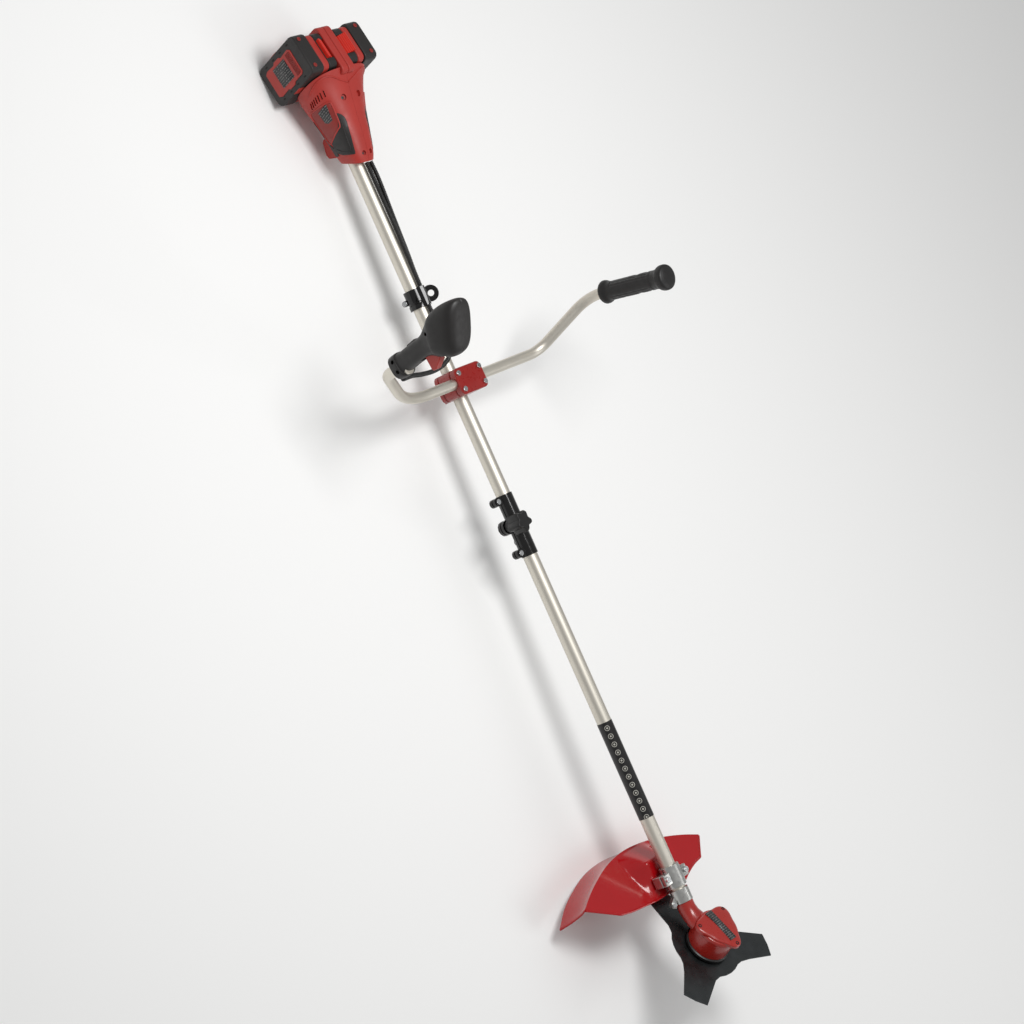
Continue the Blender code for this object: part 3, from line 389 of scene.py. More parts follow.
def satin_aluminium(name, colour):
    """Anodised drawn tube: warm satin metal, its drawing lines 0.5 mm apart along the tube."""
    material, tree, shader = new_material(name, colour, 0.34, Metallic=1.0)
    noise = grain(tree, shader, size=0.5, strength=0.12, depth=0.05, stretch=(0.02, 1, 1), coordinates="UV")
    rough_range(tree, shader, noise.outputs[0], 0.42, 0.52)
    varied(tree, shader, colour, cloud(tree, 60.0), 0.05)
    return material


def die_cast_alloy(name, colour):
    """Tumbled aluminium casting: bright, with a cast skin of about 1.2 mm."""
    material, tree, shader = new_material(name, colour, 0.26, Metallic=1.0)
    grain(tree, shader, size=1.6, strength=0.3, depth=0.12, detail=1.0)
    rough_range(tree, shader, cloud(tree, 6.0, 3.0), 0.26, 0.4)
    varied(tree, shader, colour, cloud(tree, 12.0), 0.12)
    return material


def zinc_plate(name, colour):
    """Zinc-plated steel: bright plating over turned metal, with small cloudy spots."""
    material, tree, shader = new_material(name, colour, 0.2, Metallic=1.0)
    grain(tree, shader, size=0.6, strength=0.15, depth=0.05)
    rough_range(tree, shader, cloud(tree, 2.5, 4.0), 0.12, 0.3)
    return material


def blued_blade_steel(name, colour):
    """Hardened sheet steel, oiled: dark grey, rolled lines and faint stains."""
    material, tree, shader = new_material(name, colour, 0.3, Metallic=0.85)
    grain(tree, shader, size=0.9, strength=0.12, depth=0.05, stretch=(1, 0.05, 1))
    rough_range(tree, shader, cloud(tree, 16.0, 6.0), 0.2, 0.42)
    varied(tree, shader, colour, cloud(tree, 24.0, 5.0), 0.2)
    return material


def grip_rubber(name, colour):
    """Moulded grip rubber: black, dull sheen with fine pits of 0.7 mm."""
    material, tree, shader = new_material(name, colour, 0.55, IOR=1.52)
    grain(tree, shader, size=0.7, strength=0.3, depth=0.1)
    rough_range(tree, shader, cloud(tree, 7.0, 4.0), 0.42, 0.6)
    return material


def calculated(tree, operation, *values):
    """The outcome of one sum over plain values and the outcomes of other nodes."""
    return add_node(tree, "ShaderNodeMath", enumerate(values), operation=operation).outputs[0]


def print_on(tree, shader, mask, ground, ink):
    """Lays ink over the ground where the mask is 1."""
    mix = add_node(tree, "ShaderNodeMix", {0: mask, 6: (*ground, 1), 7: (*ink, 1)}, data_type="RGBA")
    tree.links.new(mix.outputs[2], shader.inputs["Base Color"])


def sheet_place(tree):
    """Millimetres along and across the sheet, from its UV."""
    place = add_node(tree, "ShaderNodeTexCoord")
    return add_node(tree, "ShaderNodeSeparateXYZ", {0: place.outputs["UV"]}).outputs[:2]


def printed_panel(name, ground, ink, line=4.2, word=9.0):
    """A foil label: satin ground with rows of plain dashes in place of print, 4.2 mm from row to row."""
    material, tree, shader = new_material(name, ground, 0.38, IOR=1.5)
    along, up = sheet_place(tree)
    rows = calculated(tree, "DIVIDE", up, line)
    row = calculated(tree, "FLOOR", rows)
    in_row = calculated(tree, "COMPARE", calculated(tree, "FRACT", rows), 0.5, 0.2)
    shifted = calculated(tree, "MULTIPLY_ADD", row, 3.7, calculated(tree, "DIVIDE", along, word))
    noise = add_node(tree, "ShaderNodeTexNoise", {"W": shifted, "Scale": 3.0, "Detail": 0.0},
                     noise_dimensions="1D")
    inked = calculated(tree, "GREATER_THAN", noise.outputs[0], 0.46)
    print_on(tree, shader, calculated(tree, "MULTIPLY", inked, in_row), ground, ink)
    return material


def marked_sleeve(name, ground, ink, pitch=15.0, middle=10.7):
    """Black shrink sleeve with a row of plain rings in pale ink, one every 15 mm along the shaft."""
    material, tree, shader = new_material(name, ground, 0.3, IOR=1.5)
    along, across = sheet_place(tree)
    part = calculated(tree, "FRACT", calculated(tree, "MULTIPLY", along, 1 / pitch))
    x = calculated(tree, "MULTIPLY_ADD", part, pitch, -pitch / 2)
    point = add_node(tree, "ShaderNodeCombineXYZ", {0: x, 1: calculated(tree, "SUBTRACT", across, middle)})
    reach = add_node(tree, "ShaderNodeVectorMath", {0: point.outputs[0]}, operation="LENGTH").outputs["Value"]
    ring = calculated(tree, "COMPARE", reach, 4.2, 0.45)
    dot = calculated(tree, "LESS_THAN", reach, 1.6)
    print_on(tree, shader, calculated(tree, "MAXIMUM", ring, dot), ground, ink)
    return material


def make_finishes(colours):
    """Every finish of the machine, by name."""
    moulded = tuple(colours.moulded_red)
    return {
        "moulded red": spark_eroded_nylon("moulded_red_nylon", moulded),
        # A darker copy of the moulded red, painted shade: the shields, the pack ridges and the screw cups
        # take it.
        "painted shade red": spark_eroded_nylon("painted_shade_red_nylon", tuple(c * 0.62 for c in moulded)),
        "latch red": spark_eroded_nylon("latch_red_nylon", linear("#CE2A1B"), 0.3, 0.4),
        "gloss red": polished_abs("gloss_red_abs", tuple(colours.gloss_red)),
        "bracket red": painted_casting("enamelled_bracket", tuple(colours.bracket_red)),
        "painted red": painted_casting("enamelled_motor_casting", tuple(colours.painted_red)),
        "charcoal": spark_eroded_nylon("charcoal_nylon", tuple(colours.charcoal), 0.45, 0.6),
        "handle": spark_eroded_nylon("handle_nylon", linear("#151211"), 0.42, 0.55),
        "black": spark_eroded_nylon("black_nylon", linear("#0B0A0A"), 0.36, 0.5),
        "gloss black": polished_abs("gloss_black_nylon", linear("#060505")),
        "conduit": spark_eroded_nylon("conduit_polyamide", linear("#0E0D0D"), 0.3, 0.42),
        "rubber": grip_rubber("grip_rubber", linear("#0C0A0A")),
        "aluminium": satin_aluminium("anodised_tube", tuple(colours.tube)),
        "cast": die_cast_alloy("die_cast_aluminium", linear("#BDBDBA")),
        "zinc": zinc_plate("zinc_plated_steel", linear("#D9DBDC")),
        "steel": zinc_plate("ground_steel", linear("#A9A9A8")),
        "blade": blued_blade_steel("hardened_blade_steel", linear("#454849")),
        # A near-black flat finish, painted shade: the sheets under the vents and the pack slots take it.
        "dark": new_material("shadowed_opening", linear("#120C0B"), 0.8)[0],
        "label": printed_panel("printed_foil_label", linear("#222325"), linear("#6B6A68")),
        "sleeve": marked_sleeve("marked_shrink_sleeve", linear("#131212"), linear("#B9B7AE")),
    }


def finish(name):
    """The finish of that name, made on first use."""
    if not FINISHES:
        FINISHES.update(make_finishes(bpy.context.scene.cutter_colours))
    return FINISHES[name]


FINISHES = {}


# ---------------------------------------------------------------- rear housing

# Housing sections: X on the shaft line, lean of the section, half width, bottom, top
HOUSING_SECTIONS = (
    (-548.0, -0.213, 68.5, -24.0, 72.0),
    (-534.0, -0.19, 62.5, -26.0, 62.8),
    (-512.0, -0.10, 51.0, -27.0, 55.5),
    (-486.0, 0.00, 41.0, -26.0, 49.0),
    (-456.0, 0.15, 33.0, -24.0, 43.0),
    (-430.0, 0.30, 28.4, -22.0, 35.6),
    (-417.0, 0.40, 24.0, -20.0, 30.0),
)
HOUSING_POWER = 2.6
HALF_GAP = 0.15


def half_housing(side, stations=10, points=64):
    """Half of the housing: superellipses of the smoothed section table, each leaned by its own slope."""
    table = spline(HOUSING_SECTIONS, stations)
    x, lean, half, low, high = (column[:, None] for column in table.T)
    a = np.linspace(-pi / 2, pi / 2, points)[None]
    y, z = superellipse(half, (high - low) / 2, HOUSING_POWER, a)
    z = z + (low + high) / 2
    grid = np.stack((x + lean * z, side * np.maximum(y, HALF_GAP), z), -1)
    return surface("housing", grid, caps=True)


def on_housing(line, side):
    """Points of the housing's surface at stations along the shaft and angles up from its side, in degrees."""
    table = spline(HOUSING_SECTIONS, 10)
    x, lean, half, low, high = (np.interp(line[:, 0], table[:, 0], column) for column in table.T)
    y, z = superellipse(half, (high - low) / 2, HOUSING_POWER, np.radians(line[:, 1]))
    z = z + (low + high) / 2
    return np.column_stack((x + lean * z, side * y, z))


def flank(x, z):
    """Half width of the housing at points of its side, read from the smoothed section table."""
    table = spline(HOUSING_SECTIONS, 10)
    stations, lean, half, low, high = (column[None] for column in table.T)
    x, z = np.asarray(x, float).ravel()[:, None], np.asarray(z, float).ravel()[:, None]
    rise = np.clip(np.abs(z - (low + high) / 2) / ((high - low) / 2), 0, 0.999)
    width = half * (1 - rise ** HOUSING_POWER) ** (1 / HOUSING_POWER)
    at = stations + lean * z
    before = np.clip((at <= x).sum(1) - 1, 0, at.shape[1] - 2)[:, None]
    at_low, at_high = (np.take_along_axis(at, i, 1) for i in (before, before + 1))
    low_width, high_width = (np.take_along_axis(width, i, 1) for i in (before, before + 1))
    share = np.clip((x - at_low) / (at_high - at_low), 0, 1)
    return (low_width + (high_width - low_width) * share).ravel()


def flank_patch(name, side, lower, upper, lift, depth, count=24, uv=False):
    """A panel on the housing's side between two edge lines of (X, Z) points, closed into a thin solid."""
    share = np.linspace(0, 1, count)
    edges = []
    for line in (lower, upper):
        line = np.array(line, float)
        reach = np.concatenate(([0], np.cumsum(np.linalg.norm(np.diff(line, axis=0), axis=1))))
        edges.append(np.column_stack([np.interp(share * reach[-1], reach, line[:, i]) for i in (0, 1)]))
    t = np.linspace(0, 1, 12)[:, None, None]
    flat = edges[0][None] * (1 - t) + edges[1][None] * t
    x, z = flat[..., 0], flat[..., 1]
    y = flank(x, z).reshape(x.shape)
    rows = np.concatenate([np.stack((x, side * (y + lift), z), -1),
                           np.stack((x, side * (y + lift - depth), z), -1)[::-1]])
    reach = (np.arange(25) * 2.0, share * 27.0) if uv else None
    return surface(name, rows, wrap_rows=True, wrap_columns=False, uv=reach, sharp=50)


def close_sides(mesh):
    """Fills the open ends of a wrapped sheet."""
    shape = bmesh.new()
    shape.from_mesh(mesh)
    bmesh.ops.holes_fill(shape, edges=[edge for edge in shape.edges if edge.is_boundary])
    bmesh.ops.recalc_face_normals(shape, faces=shape.faces)
    shape.to_mesh(mesh)
    shape.free()
    return mesh


INLAY_LOWER = ((-496.0, 39.5), (-484.3, 36.0), (-474.2, 30.0), (-462.0, 10.0), (-455.6, -2.0), (-448.0, -4.5),
               (-439.0, -3.0), (-431.0, 8.0), (-423.5, 28.0))
INLAY_UPPER = ((-495.5, 41.5), (-491.6, 43.6), (-485.4, 44.2), (-477.3, 43.1), (-452.0, 37.5), (-430.2, 31.5),
               (-426.2, 30.5), (-423.5, 29.1))
SHIELD_LOWER = ((-516.0, 8.0), (-513.6, -3.0), (-497.0, -7.5), (-463.0, -8.5), (-457.7, -4.0))
SHIELD_UPPER = ((-517.5, 40.0), (-514.0, 42.6), (-497.0, 39.0), (-477.1, 34.0), (-471.2, 27.0),
                (-457.7, -1.5))
BADGE_LOWER = ((-509.2, 13.6), (-490.4, 12.8), (-487.0, 19.0))
BADGE_UPPER = ((-516.4, 36.8), (-503.0, 32.8), (-488.7, 28.8))
INLAY_RIDGE = ((-486.0, 40.0), (-476.0, 37.5), (-452.0, 32.0), (-431.0, 26.0), (-436.0, 12.0), (-444.0, 2.0))
WRAP_LOWER = ((-503.0, -14.0), (-486.0, -19.0), (-462.0, -20.0), (-440.0, -18.0), (-434.0, -10.0))
WRAP_UPPER = ((-503.0, -12.5), (-480.0, -12.5), (-462.0, -11.5), (-452.0, -5.5), (-433.0, -1.0))
# Edges of the near-black sheet under the vents: painted shade seen through the slots
SHADE_SHEET_LOWER = ((-533.0, 14.0), (-517.0, 3.0))
SHADE_SHEET_UPPER = ((-541.0, 50.0), (-525.0, 47.0))


SCREW_RECESSES = ((-516.6, 18.6, 54.1, 5.4), (-419.9, 8.4, 35.7, 4.0))
# The step round the housing's rear: station along the shaft, angle up from the side
STEP_LINE = ((-535.0, 8.0), (-541.0, 24.0), (-544.0, 42.0), (-541.5, 58.0), (-534.0, 73.0), (-528.0, 89.0))


def vent_slot(share, side):
    """A vent slot's solid at a share of the row's height: each is further back and less steep."""
    x, z = -524.0 - 8.5 * share, 12.0 + 32.5 * share
    slope = radians(-33.0 + 15.0 * share)
    outline = rounded((-6.0, -1.35), (6.0, 1.35), 1.2, 3) @ np.array(((cos(slope), sin(slope)),
                                                                     (-sin(slope), cos(slope))))
    y = side * float(flank(x, z)[0])
    return surface("slot", slab(outline + (x, z), y - 6.0, y + 6.0, "xz"), caps=True)


def housing():
    """Both halves of the rear housing with their vents, screws, inlays, shields and step line."""
    for label, side in (("left", 1), ("right", -1)):
        body = piece(f"housing_{label}", half_housing(side), finish("moulded red"),
                     [f"housing_{label}_shell"])
        vents = bpy.context.scene.cutter_sizes.vents
        cuts = [cutter(vent_slot(i / (vents - 1), side)) for i in range(vents)]
        for x, y, z, r in SCREW_RECESSES:
            place = axes((x, side * y, z), (1, 0, 0), (0.1, side * 0.3, 0.95))
            hole = revolved(((0, -9), (r * 0.5, -9), (r * 0.5, -5), (r, -4.0), (r * 1.1, 12), (0, 12)), 32)
            cuts.append(cutter(surface("screw_hole", hole, place)))
            head = revolved(((0, -6.5), (r * 0.2, -6.5), (r * 0.25, -5.6), (r * 0.6, -5.6), (r * 0.6, -8.5),
                             (0, -8.5)), 24)
            piece(f"housing_{label}_screw_{int(-x)}", surface("screw", head, place), finish("black"),
                  body="machine")
        carved(body, cuts)
        inlay = flank_patch(f"inlay_{label}", side, INLAY_LOWER, INLAY_UPPER, 0.9, 2.4, 40)
        piece(f"housing_{label}_inlay_look", close_sides(inlay), finish("charcoal"),
              [f"housing_{label}_inlay"], bevel=0.5)
        # The shield is a darker red patch barely proud of the flank: painted shade standing in for a recess.
        shield = flank_patch(f"shield_{label}", side, SHIELD_LOWER, SHIELD_UPPER, 0.25, 2.0, 30)
        piece(f"housing_{label}_shield", close_sides(shield), finish("painted shade red"), body="machine")
        badge = flank_patch(f"badge_{label}", side, BADGE_LOWER, BADGE_UPPER, 0.6, 1.6, 20, uv=True)
        piece(f"housing_{label}_badge", close_sides(badge), finish("label"), body="machine")
        rim_route = np.vstack((SHIELD_LOWER, SHIELD_UPPER[::-1], SHIELD_LOWER[:1]))
        rim(f"housing_{label}_shield_rim", side, rim_route, 1.5)
        rim(f"housing_{label}_inlay_ridge", side, INLAY_RIDGE, 0.9, 0.9, "charcoal")
        wrap = flank_patch(f"inlay_wrap_{label}", side, WRAP_LOWER, WRAP_UPPER, 0.9, 2.4, 40)
        piece(f"housing_{label}_inlay_wrap", close_sides(wrap), finish("charcoal"), body="machine", bevel=0.4)
        # A near-black sheet under the vent slots: painted shade seen through them.
        shade_sheet = flank_patch(f"vent_shade_sheet_{label}", side, SHADE_SHEET_LOWER, SHADE_SHEET_UPPER, -3.2, 1.2, 20)
        piece(f"vent_shade_sheet_{label}", close_sides(shade_sheet), finish("dark"), body="machine")
        step = on_housing(spline(STEP_LINE, 12), side)
        piece(f"housing_{label}_step", surface("step", swept(step, 1.5, 10, (1, 0, 0)), caps=True),
              finish("moulded red"), body="machine")
        rib(label, side)


def rim(name, side, line, radius, lift=0.1, colour="moulded red"):
    """A raised round edge that follows a line of (X, Z) points on the flank."""
    line = spline(line, 8)
    path = np.column_stack((line[:, 0], side * (flank(line[:, 0], line[:, 1]) + lift), line[:, 1]))
    path, _ = even(path, 1.2)
    piece(name, surface(name, swept(path, radius, 10, (0, 1, 0)), caps=True), finish(colour), body="machine")


FOOT = ((-481.0, -12.0), (-474.0, -38.0), (-470.0, -42.0), (-448.0, -46.0), (-441.0, -43.0),
        (-430.0, -8.0))


def rib(label, side):
    """Half of the rib between the packs, and half of the foot below the housing."""
    y = sorted((side * HALF_GAP, side * 15.5))
    outline = rounded((-8.6, 2.0), (84.0, 109.0), 10.0, 8)
    piece(f"rib_{label}", surface("rib", slab(outline, *y, "xz"), BAY, caps=True), finish("moulded red"),
          body="machine", bevel=2.5, segments=3)
    y = sorted((side * HALF_GAP, side * 12.0))
    piece(f"foot_{label}", surface("foot", slab(FOOT, *y, "xz"), caps=True), finish("moulded red"),
          body="machine", bevel=1.5)


# ---------------------------------------------------------------- battery packs

PACK_FACE = 81.0
PACK_LABEL = ((15.5, 33.0), (52.0, 68.0))
PACK_TABS = (-4.2, 69.7)
PACK_FRAME = ((9.0, 20.0), (13.0, 13.5), (56.0, 13.0), (60.0, 20.0), (59.0, 40.0), (62.0, 44.0), (62.0, 58.0),
              (58.5, 62.0), (58.5, 84.0), (55.0, 88.5), (13.0, 89.5), (9.0, 84.0), (10.5, 62.0), (7.0, 58.0),
              (7.0, 44.0), (10.5, 40.0))
SCREW_CUP = ((0, 0.5), (1.6, 0.5), (1.9, 1.1), (3.4, 1.1), (3.8, 0.6), (3.8, -2.0), (0, -2.0))
# The latch: middle along the pack, half length, nearest and furthest from the rib, bottom, top, fall
LATCH_MIDDLE, LATCH_HALF = 35.0, 17.9
LATCH_NEAR, LATCH_FAR = 16.7, 34.2
LATCH_LOW, LATCH_TOP, LATCH_FALL = 98.6, 113.4, 11.0
LATCH_RIB_HEIGHT = 1.4


def battery(label, side):
    """One pack with its face frame, label, ridges, tabs, screw cups, slots and latch."""
    body = f"battery_{label}"
    for part, colour, edge in (("case", "charcoal", 2.2), ("band", "moulded red", 1.6),
                               ("rail_cap", "charcoal", 1.8)):
        refined(f"battery_{label}_{part}", finish(colour), bevel=edge, segments=3)
    face = side * PACK_FACE
    levels = sorted((face - side * 1.0, face + side * 1.3))
    piece(f"pack_{label}_face_frame", surface("frame", slab(PACK_FRAME, *levels, "xz"), BAY, caps=True),
          finish("moulded red"), body=body, bevel=0.7)
    sheet = plate("plate", *PACK_LABEL, (face - side * 1.0, face + side * 1.6), BAY, "xz")
    piece(f"pack_{label}_label", sheet, finish("label"), body=body)
    # The ridges take the darker red: painted shade.
    for i in range(5):
        rise = 74.5 + 2.5 * i
        ridge = slab(rounded((13.0, rise), (55.5, rise + 1.2), 0.55, 3), face, face + side * 2.0, "xz")
        piece(f"pack_{label}_ridge_{i + 1}", surface("ridge", ridge, BAY, caps=True), finish("painted shade red"),
              body=body)
    for a in PACK_TABS:
        tab = slab(rounded((a, 42.0), (a + 2.0, 60.0), 0.9, 3), side * 60.0, side * 80.0, "xz")
        piece(f"pack_{label}_tab_{'low' if a < 0 else 'high'}", surface("tab", tab, BAY, caps=True),
              finish("moulded red"), body=body, bevel=0.4)
    # The screw cups take the darker red: painted shade in the hollows.
    for i, a in enumerate((7.5, 60.0)):
        cup = revolved(SCREW_CUP, 32)
        place = bay_place((a, side * 70.0, 109.5))
        piece(f"pack_{label}_screw_cup_{i + 1}", surface("cup", cup, place), finish("painted shade red"), body=body)
    # The slots are near-black dots, not cut: painted shade of openings.
    for i in range(8):
        a = 3.2 if i % 2 else 65.0
        b = 20.0 + 22.0 * (i // 2) + (3.0 if i % 2 else 0)
        outline = rounded((a - 1.2, b - 2.6), (a + 1.2, b + 2.6), 1.1, 3)
        dot = slab(outline, face - side * 0.5, face + side * 0.35, "xz")
        piece(f"pack_{label}_slot_{i + 1}", surface("dot", dot, BAY, caps=True), finish("dark"), body=body)
    latch(label, side)


def bay_place(point):
    """A place in the battery bay with the bay's own directions."""
    origin, turn = BAY
    return origin + turn @ np.array(point, float), turn


def latch(label, side):
    """The latch button: its top falls towards the rib and carries ribs, height h - f t^1.3 + d|sin|."""
    ribs = bpy.context.scene.cutter_sizes.latch_ribs
    low, high = sorted((side * LATCH_NEAR, side * LATCH_FAR))
    y = np.linspace(low, high, ribs * 8 + 1)
    fall = np.clip((LATCH_FAR - np.abs(y)) / (LATCH_FAR - LATCH_NEAR), 0, 1)
    wave = np.abs(np.sin(np.linspace(0, ribs * pi, len(y)))) ** 0.5
    ribbed = LATCH_TOP - LATCH_FALL * fall ** 1.3 + LATCH_RIB_HEIGHT * wave
    outline = np.vstack((np.column_stack((y, ribbed)), ((high, LATCH_LOW), (low, LATCH_LOW))))
    rows = [np.column_stack((np.full(len(outline), x), outline))
            for x in (LATCH_MIDDLE - LATCH_HALF, LATCH_MIDDLE + LATCH_HALF)]
    mesh = surface("latch", np.stack(rows), BAY, caps=True, sharp=50)
    piece(f"pack_{label}_latch", mesh, finish("latch red"), [f"battery_{label}_latch"], bevel=0.4)


# ---------------------------------------------------------------- shaft and conduits

CONDUIT_VALLEY = 0.45
TUBE_WALL = 1.5
HANDLE_LEAD_ROUTE = ((-406, 5, 18.5), (-360, 5.6, 18.1), (-300, 5.8, 17.8), (-240, 4.9, 17.6),
                     (-205, 3.2, 18.0), (-160, 2.4, 18.0), (-122, 2.4, 18.4), (-86, 1, 22.5), (-60, -6, 30),
                     (-45, -26, 38), (-36, -56, 48), (-31.5, -99, 63), (-32, -146, 82), (-34, -190, 104),
                     (-33, -226, 124), (-32, -247, 138), (-32.5, -256, 148.4))
POWER_LEAD_ROUTE = ((-406, 16.6, 17.3), (-370, 17.6, 16.9), (-300, 15.6, 13.9), (-240, 16.2, 9.6),
                    (-205, 17.6, 5.2), (-160, 17.8, 3.7), (-125, 18.2, 4.0), (-109, 18.5, 4.1))


def conduit(name, route):
    """A corrugated conduit: its radius swings between crest and valley once every pitch."""
    sizes = bpy.context.scene.cutter_sizes
    pitch = sizes.conduit_pitch / MM
    path, reach = even(spline(route, 12), pitch / 6)
    radius = sizes.conduit_radius / MM - CONDUIT_VALLEY * (1 - np.cos(2 * pi * reach / pitch))
    grid = swept(path, radius, 16, (0, 0.5, 0.86))
    piece(name + "_look", surface(name, grid, caps=True, sharp=80), finish("conduit"), [name])


def tube(name, node, span, radius, bore, material, sides=72):
    """A drawn tube: outer wall, end, inner wall and end as one closed profile."""
    profile = np.array(((bore, span[0]), (radius, span[0]), (radius, span[1]), (bore, span[1])))
    grid = revolved(profile, sides)
    around = np.linspace(0, 2 * pi * radius, sides + 1)
    along = np.array((span[0], span[0], span[1], span[1], span[0]))
    piece(name, surface(name, grid, ALONG, wrap_rows=True, uv=(along, around)), material, [node])


def shaft():
    """Both tubes, the sleeve, the conduits with their grommet, and the sling clamp."""
    radius = bpy.context.scene.cutter_sizes.tube_radius / MM
    for node, span in (("upper_tube", (-520.0, 259.0)), ("lower_tube", (260.0, 966.0))):
        tube(node + "_look", node, span, radius, radius - TUBE_WALL, finish("aluminium"))
    tube("label_sleeve_look", "label_sleeve", (627.0, 805.0), 13.6, 13.1, finish("sleeve"))
    conduit("handle_lead", HANDLE_LEAD_ROUTE)
    conduit("power_lead", POWER_LEAD_ROUTE)
    refined("lead_grommet", finish("black"))
    refined("sling_clamp", finish("gloss black"), bevel=0.6)
    refined("sling_clamp_screw", finish("zinc"), bevel=0.3)


# ---------------------------------------------------------------- handlebar

BAR_Z = 30.0
KNEE = (0.0, 196.0, BAR_Z)
RIGHT_KNEE_Y = -156.0
RIGHT_RISER_TOP = (-51.0, -259.0, 118.0)
RISER_TOP = (-51.0, 259.0, 132.0)
GRIP_END = (-21.0, 263.5, 307.0)
BENDS = (45.0, 140.0, 42.0, 80.0)
TRIGGER_BAR_END = 0.30
GRIP_START = 0.21


def bent_route(corners, radii, steps=16):
    """Straight runs between the corners, joined by arcs.

    An arc is its centre + r(first sin((1 - t)w) + last sin(tw)) / sin w.
    """
    route = [corners[0]]
    for before, corner, after, radius in zip(corners, corners[1:], corners[2:], radii):
        back = (before - corner) / np.linalg.norm(before - corner)
        on = (after - corner) / np.linalg.norm(after - corner)
        half = np.arccos(np.clip(back @ on, -1, 1)) / 2
        middle = (back + on) / np.linalg.norm(back + on)
        centre = corner + middle * radius / np.sin(half)
        first = (corner + back * radius / np.tan(half) - centre) / radius
        last = (corner + on * radius / np.tan(half) - centre) / radius
        w = np.arccos(np.clip(first @ last, -1, 1))
        t = np.linspace(0, 1, steps + 1)[:, None]
        route.extend(centre + radius * (first * np.sin((1 - t) * w) + last * np.sin(t * w)) / np.sin(w))
    return np.array([*route, corners[-1]])


def handlebar():
    """The bent bar, a round section carried from the trigger handle to the plain grip, and the grip."""
    left = [np.array(p, float) for p in (KNEE, RISER_TOP, GRIP_END)]
    right = [p * (1, -1, 1) for p in left]
    right[0] = np.array((KNEE[0], RIGHT_KNEE_Y, BAR_Z))
    right[1] = np.array(RIGHT_RISER_TOP)
    right[2] = right[1] + (right[2] - right[1]) * TRIGGER_BAR_END
    path, reach = even(bent_route([*right[::-1], *left], BENDS), 4.0)
    sides = 40
    radius = bpy.context.scene.cutter_sizes.bar_radius / MM
    grid = swept(path, radius, sides, (1, 0, 0))
    around = np.linspace(0, 2 * pi * radius, sides + 1)
    piece("handlebar_look", surface("handlebar", grid, caps=True, uv=(reach, around)), finish("aluminium"),
          ["handlebar"])
    plain_grip(left)


def plain_grip(left):
    """The rubber grip: a turned body with finger pads, r(z) less a groove every rib pitch on two sides."""
    start = left[1] + (left[2] - left[1]) * GRIP_START
    along = left[2] - start
    end = float(np.linalg.norm(along))
    profile = np.array(((0, 0), (9.8, 0), (19.0, 0), (20.5, 3), (20.0, 8), (17.4, 14), (16.6, 20), (16.6, 26),
                        (16.8, 60), (16.8, end - 34), (16.4, end - 28), (18.0, end - 18), (21.5, end - 12),
                        (22.4, end - 6), (21.0, end), (15.0, end + 3.0), (0, end + 3.9)))
    fine = spline(profile[2:-1], 8)
    table = np.vstack((profile[:2], fine, profile[-1:]))
    grid = revolved(table, 96)
    height = table[:, 1][:, None]
    angle = np.linspace(0, 2 * pi, 96, endpoint=False)[None]
    body = ((height > 22) & (height < end - 32)).astype(float)
    pads = np.clip(np.abs(np.sin(pi * (height - 22) / 8.0)) * 4 - 0.6, 0, 1)
    facing = np.clip(np.cos(2 * angle) * 3 + 0.6, 0, 1)
    depth = 1.1 * body * facing * (1 - pads)
    seam = 0.8 * body * np.exp(-((np.abs(np.cos(2 * angle)) - 0.35) / 0.12) ** 2)
    radius = np.hypot(grid[..., 0], grid[..., 1])
    grid[..., :2] *= np.where(radius > 12, 1 - (depth + seam) / np.maximum(radius, 1), 1)[..., None]
    piece("plain_grip_look", surface("grip", grid, axes(start, (1, 0, 0), along), sharp=60), finish("rubber"),
          ["plain_grip"])


def bracket():
    """The three layers that clamp the bar to the shaft, and their bolts."""
    for kind in ("base", "middle", "cap"):
        refined(f"bracket_{kind}", finish("bracket red"), bevel=1.2, segments=3)
    for i in range(1, 5):
        refined(f"bracket_bolt_{i}", finish("zinc"), bevel=0.4)


# ---------------------------------------------------------------- trigger handle

# Handle sections: height, lean, centre along X, half X, half Y, shift along Y
HANDLE_SECTIONS = (
    (9.0, 0.00, 0.0, 19.5, 18.5, 0.0),
    (11.0, 0.00, 0.0, 20.6, 19.5, 0.0),
    (24.0, 0.00, 0.0, 20.6, 19.5, 0.0),
    (29.0, 0.00, -1.0, 17.4, 16.4, 0.0),
    (60.0, 0.00, -2.0, 17.0, 16.0, 0.0),
    (88.0, -0.10, -2.0, 18.5, 16.5, 1.0),
    (104.0, -0.25, -4.0, 27.0, 20.0, 3.0),
    (114.0, -0.36, -6.0, 33.5, 24.0, 4.5),
    (128.0, -0.50, -4.5, 37.5, 26.0, 7.5),
    (145.0, -0.65, -1.0, 38.5, 26.5, 11.5),
    (155.5, -0.70, 1.0, 36.4, 25.0, 14.5),
    (160.4, -0.71, 2.0, 33.0, 21.5, 16.5),
    (163.0, -0.716, 2.6, 27.0, 15.5, 17.3),
    (163.8, -0.716, 3.0, 16.0, 8.0, 17.5),
    (164.0, -0.716, 3.0, 3.0, 1.5, 17.5),
)
HANDLE_POWER = 2.8
HANDLE_COLUMNS = 128
# Screw holes: place along X and up, depth of the floor from the middle
HANDLE_HOLES = ((-14.0, 112.0, 13.5), (-9.0, 20.0, 12.0), (9.0, 20.0, 12.0))


def handle_grid():
    """Leaned superellipses of the smoothed section table, drawn in by the seam on both ends of the X axis."""
    table = spline(HANDLE_SECTIONS, 5)
    height, lean, centre, half_x, half_y, shift = (column[:, None] for column in table.T)
    a = np.linspace(0, 2 * pi, HANDLE_COLUMNS, endpoint=False)[None]
    seam = 0.9 * (np.abs(np.sin(a)) < 0.02)
    x, y = superellipse(np.maximum(half_x - seam, 1.0), half_y, HANDLE_POWER, a)
    return np.stack((centre + x, shift + y, height + lean * (centre + x)), -1)


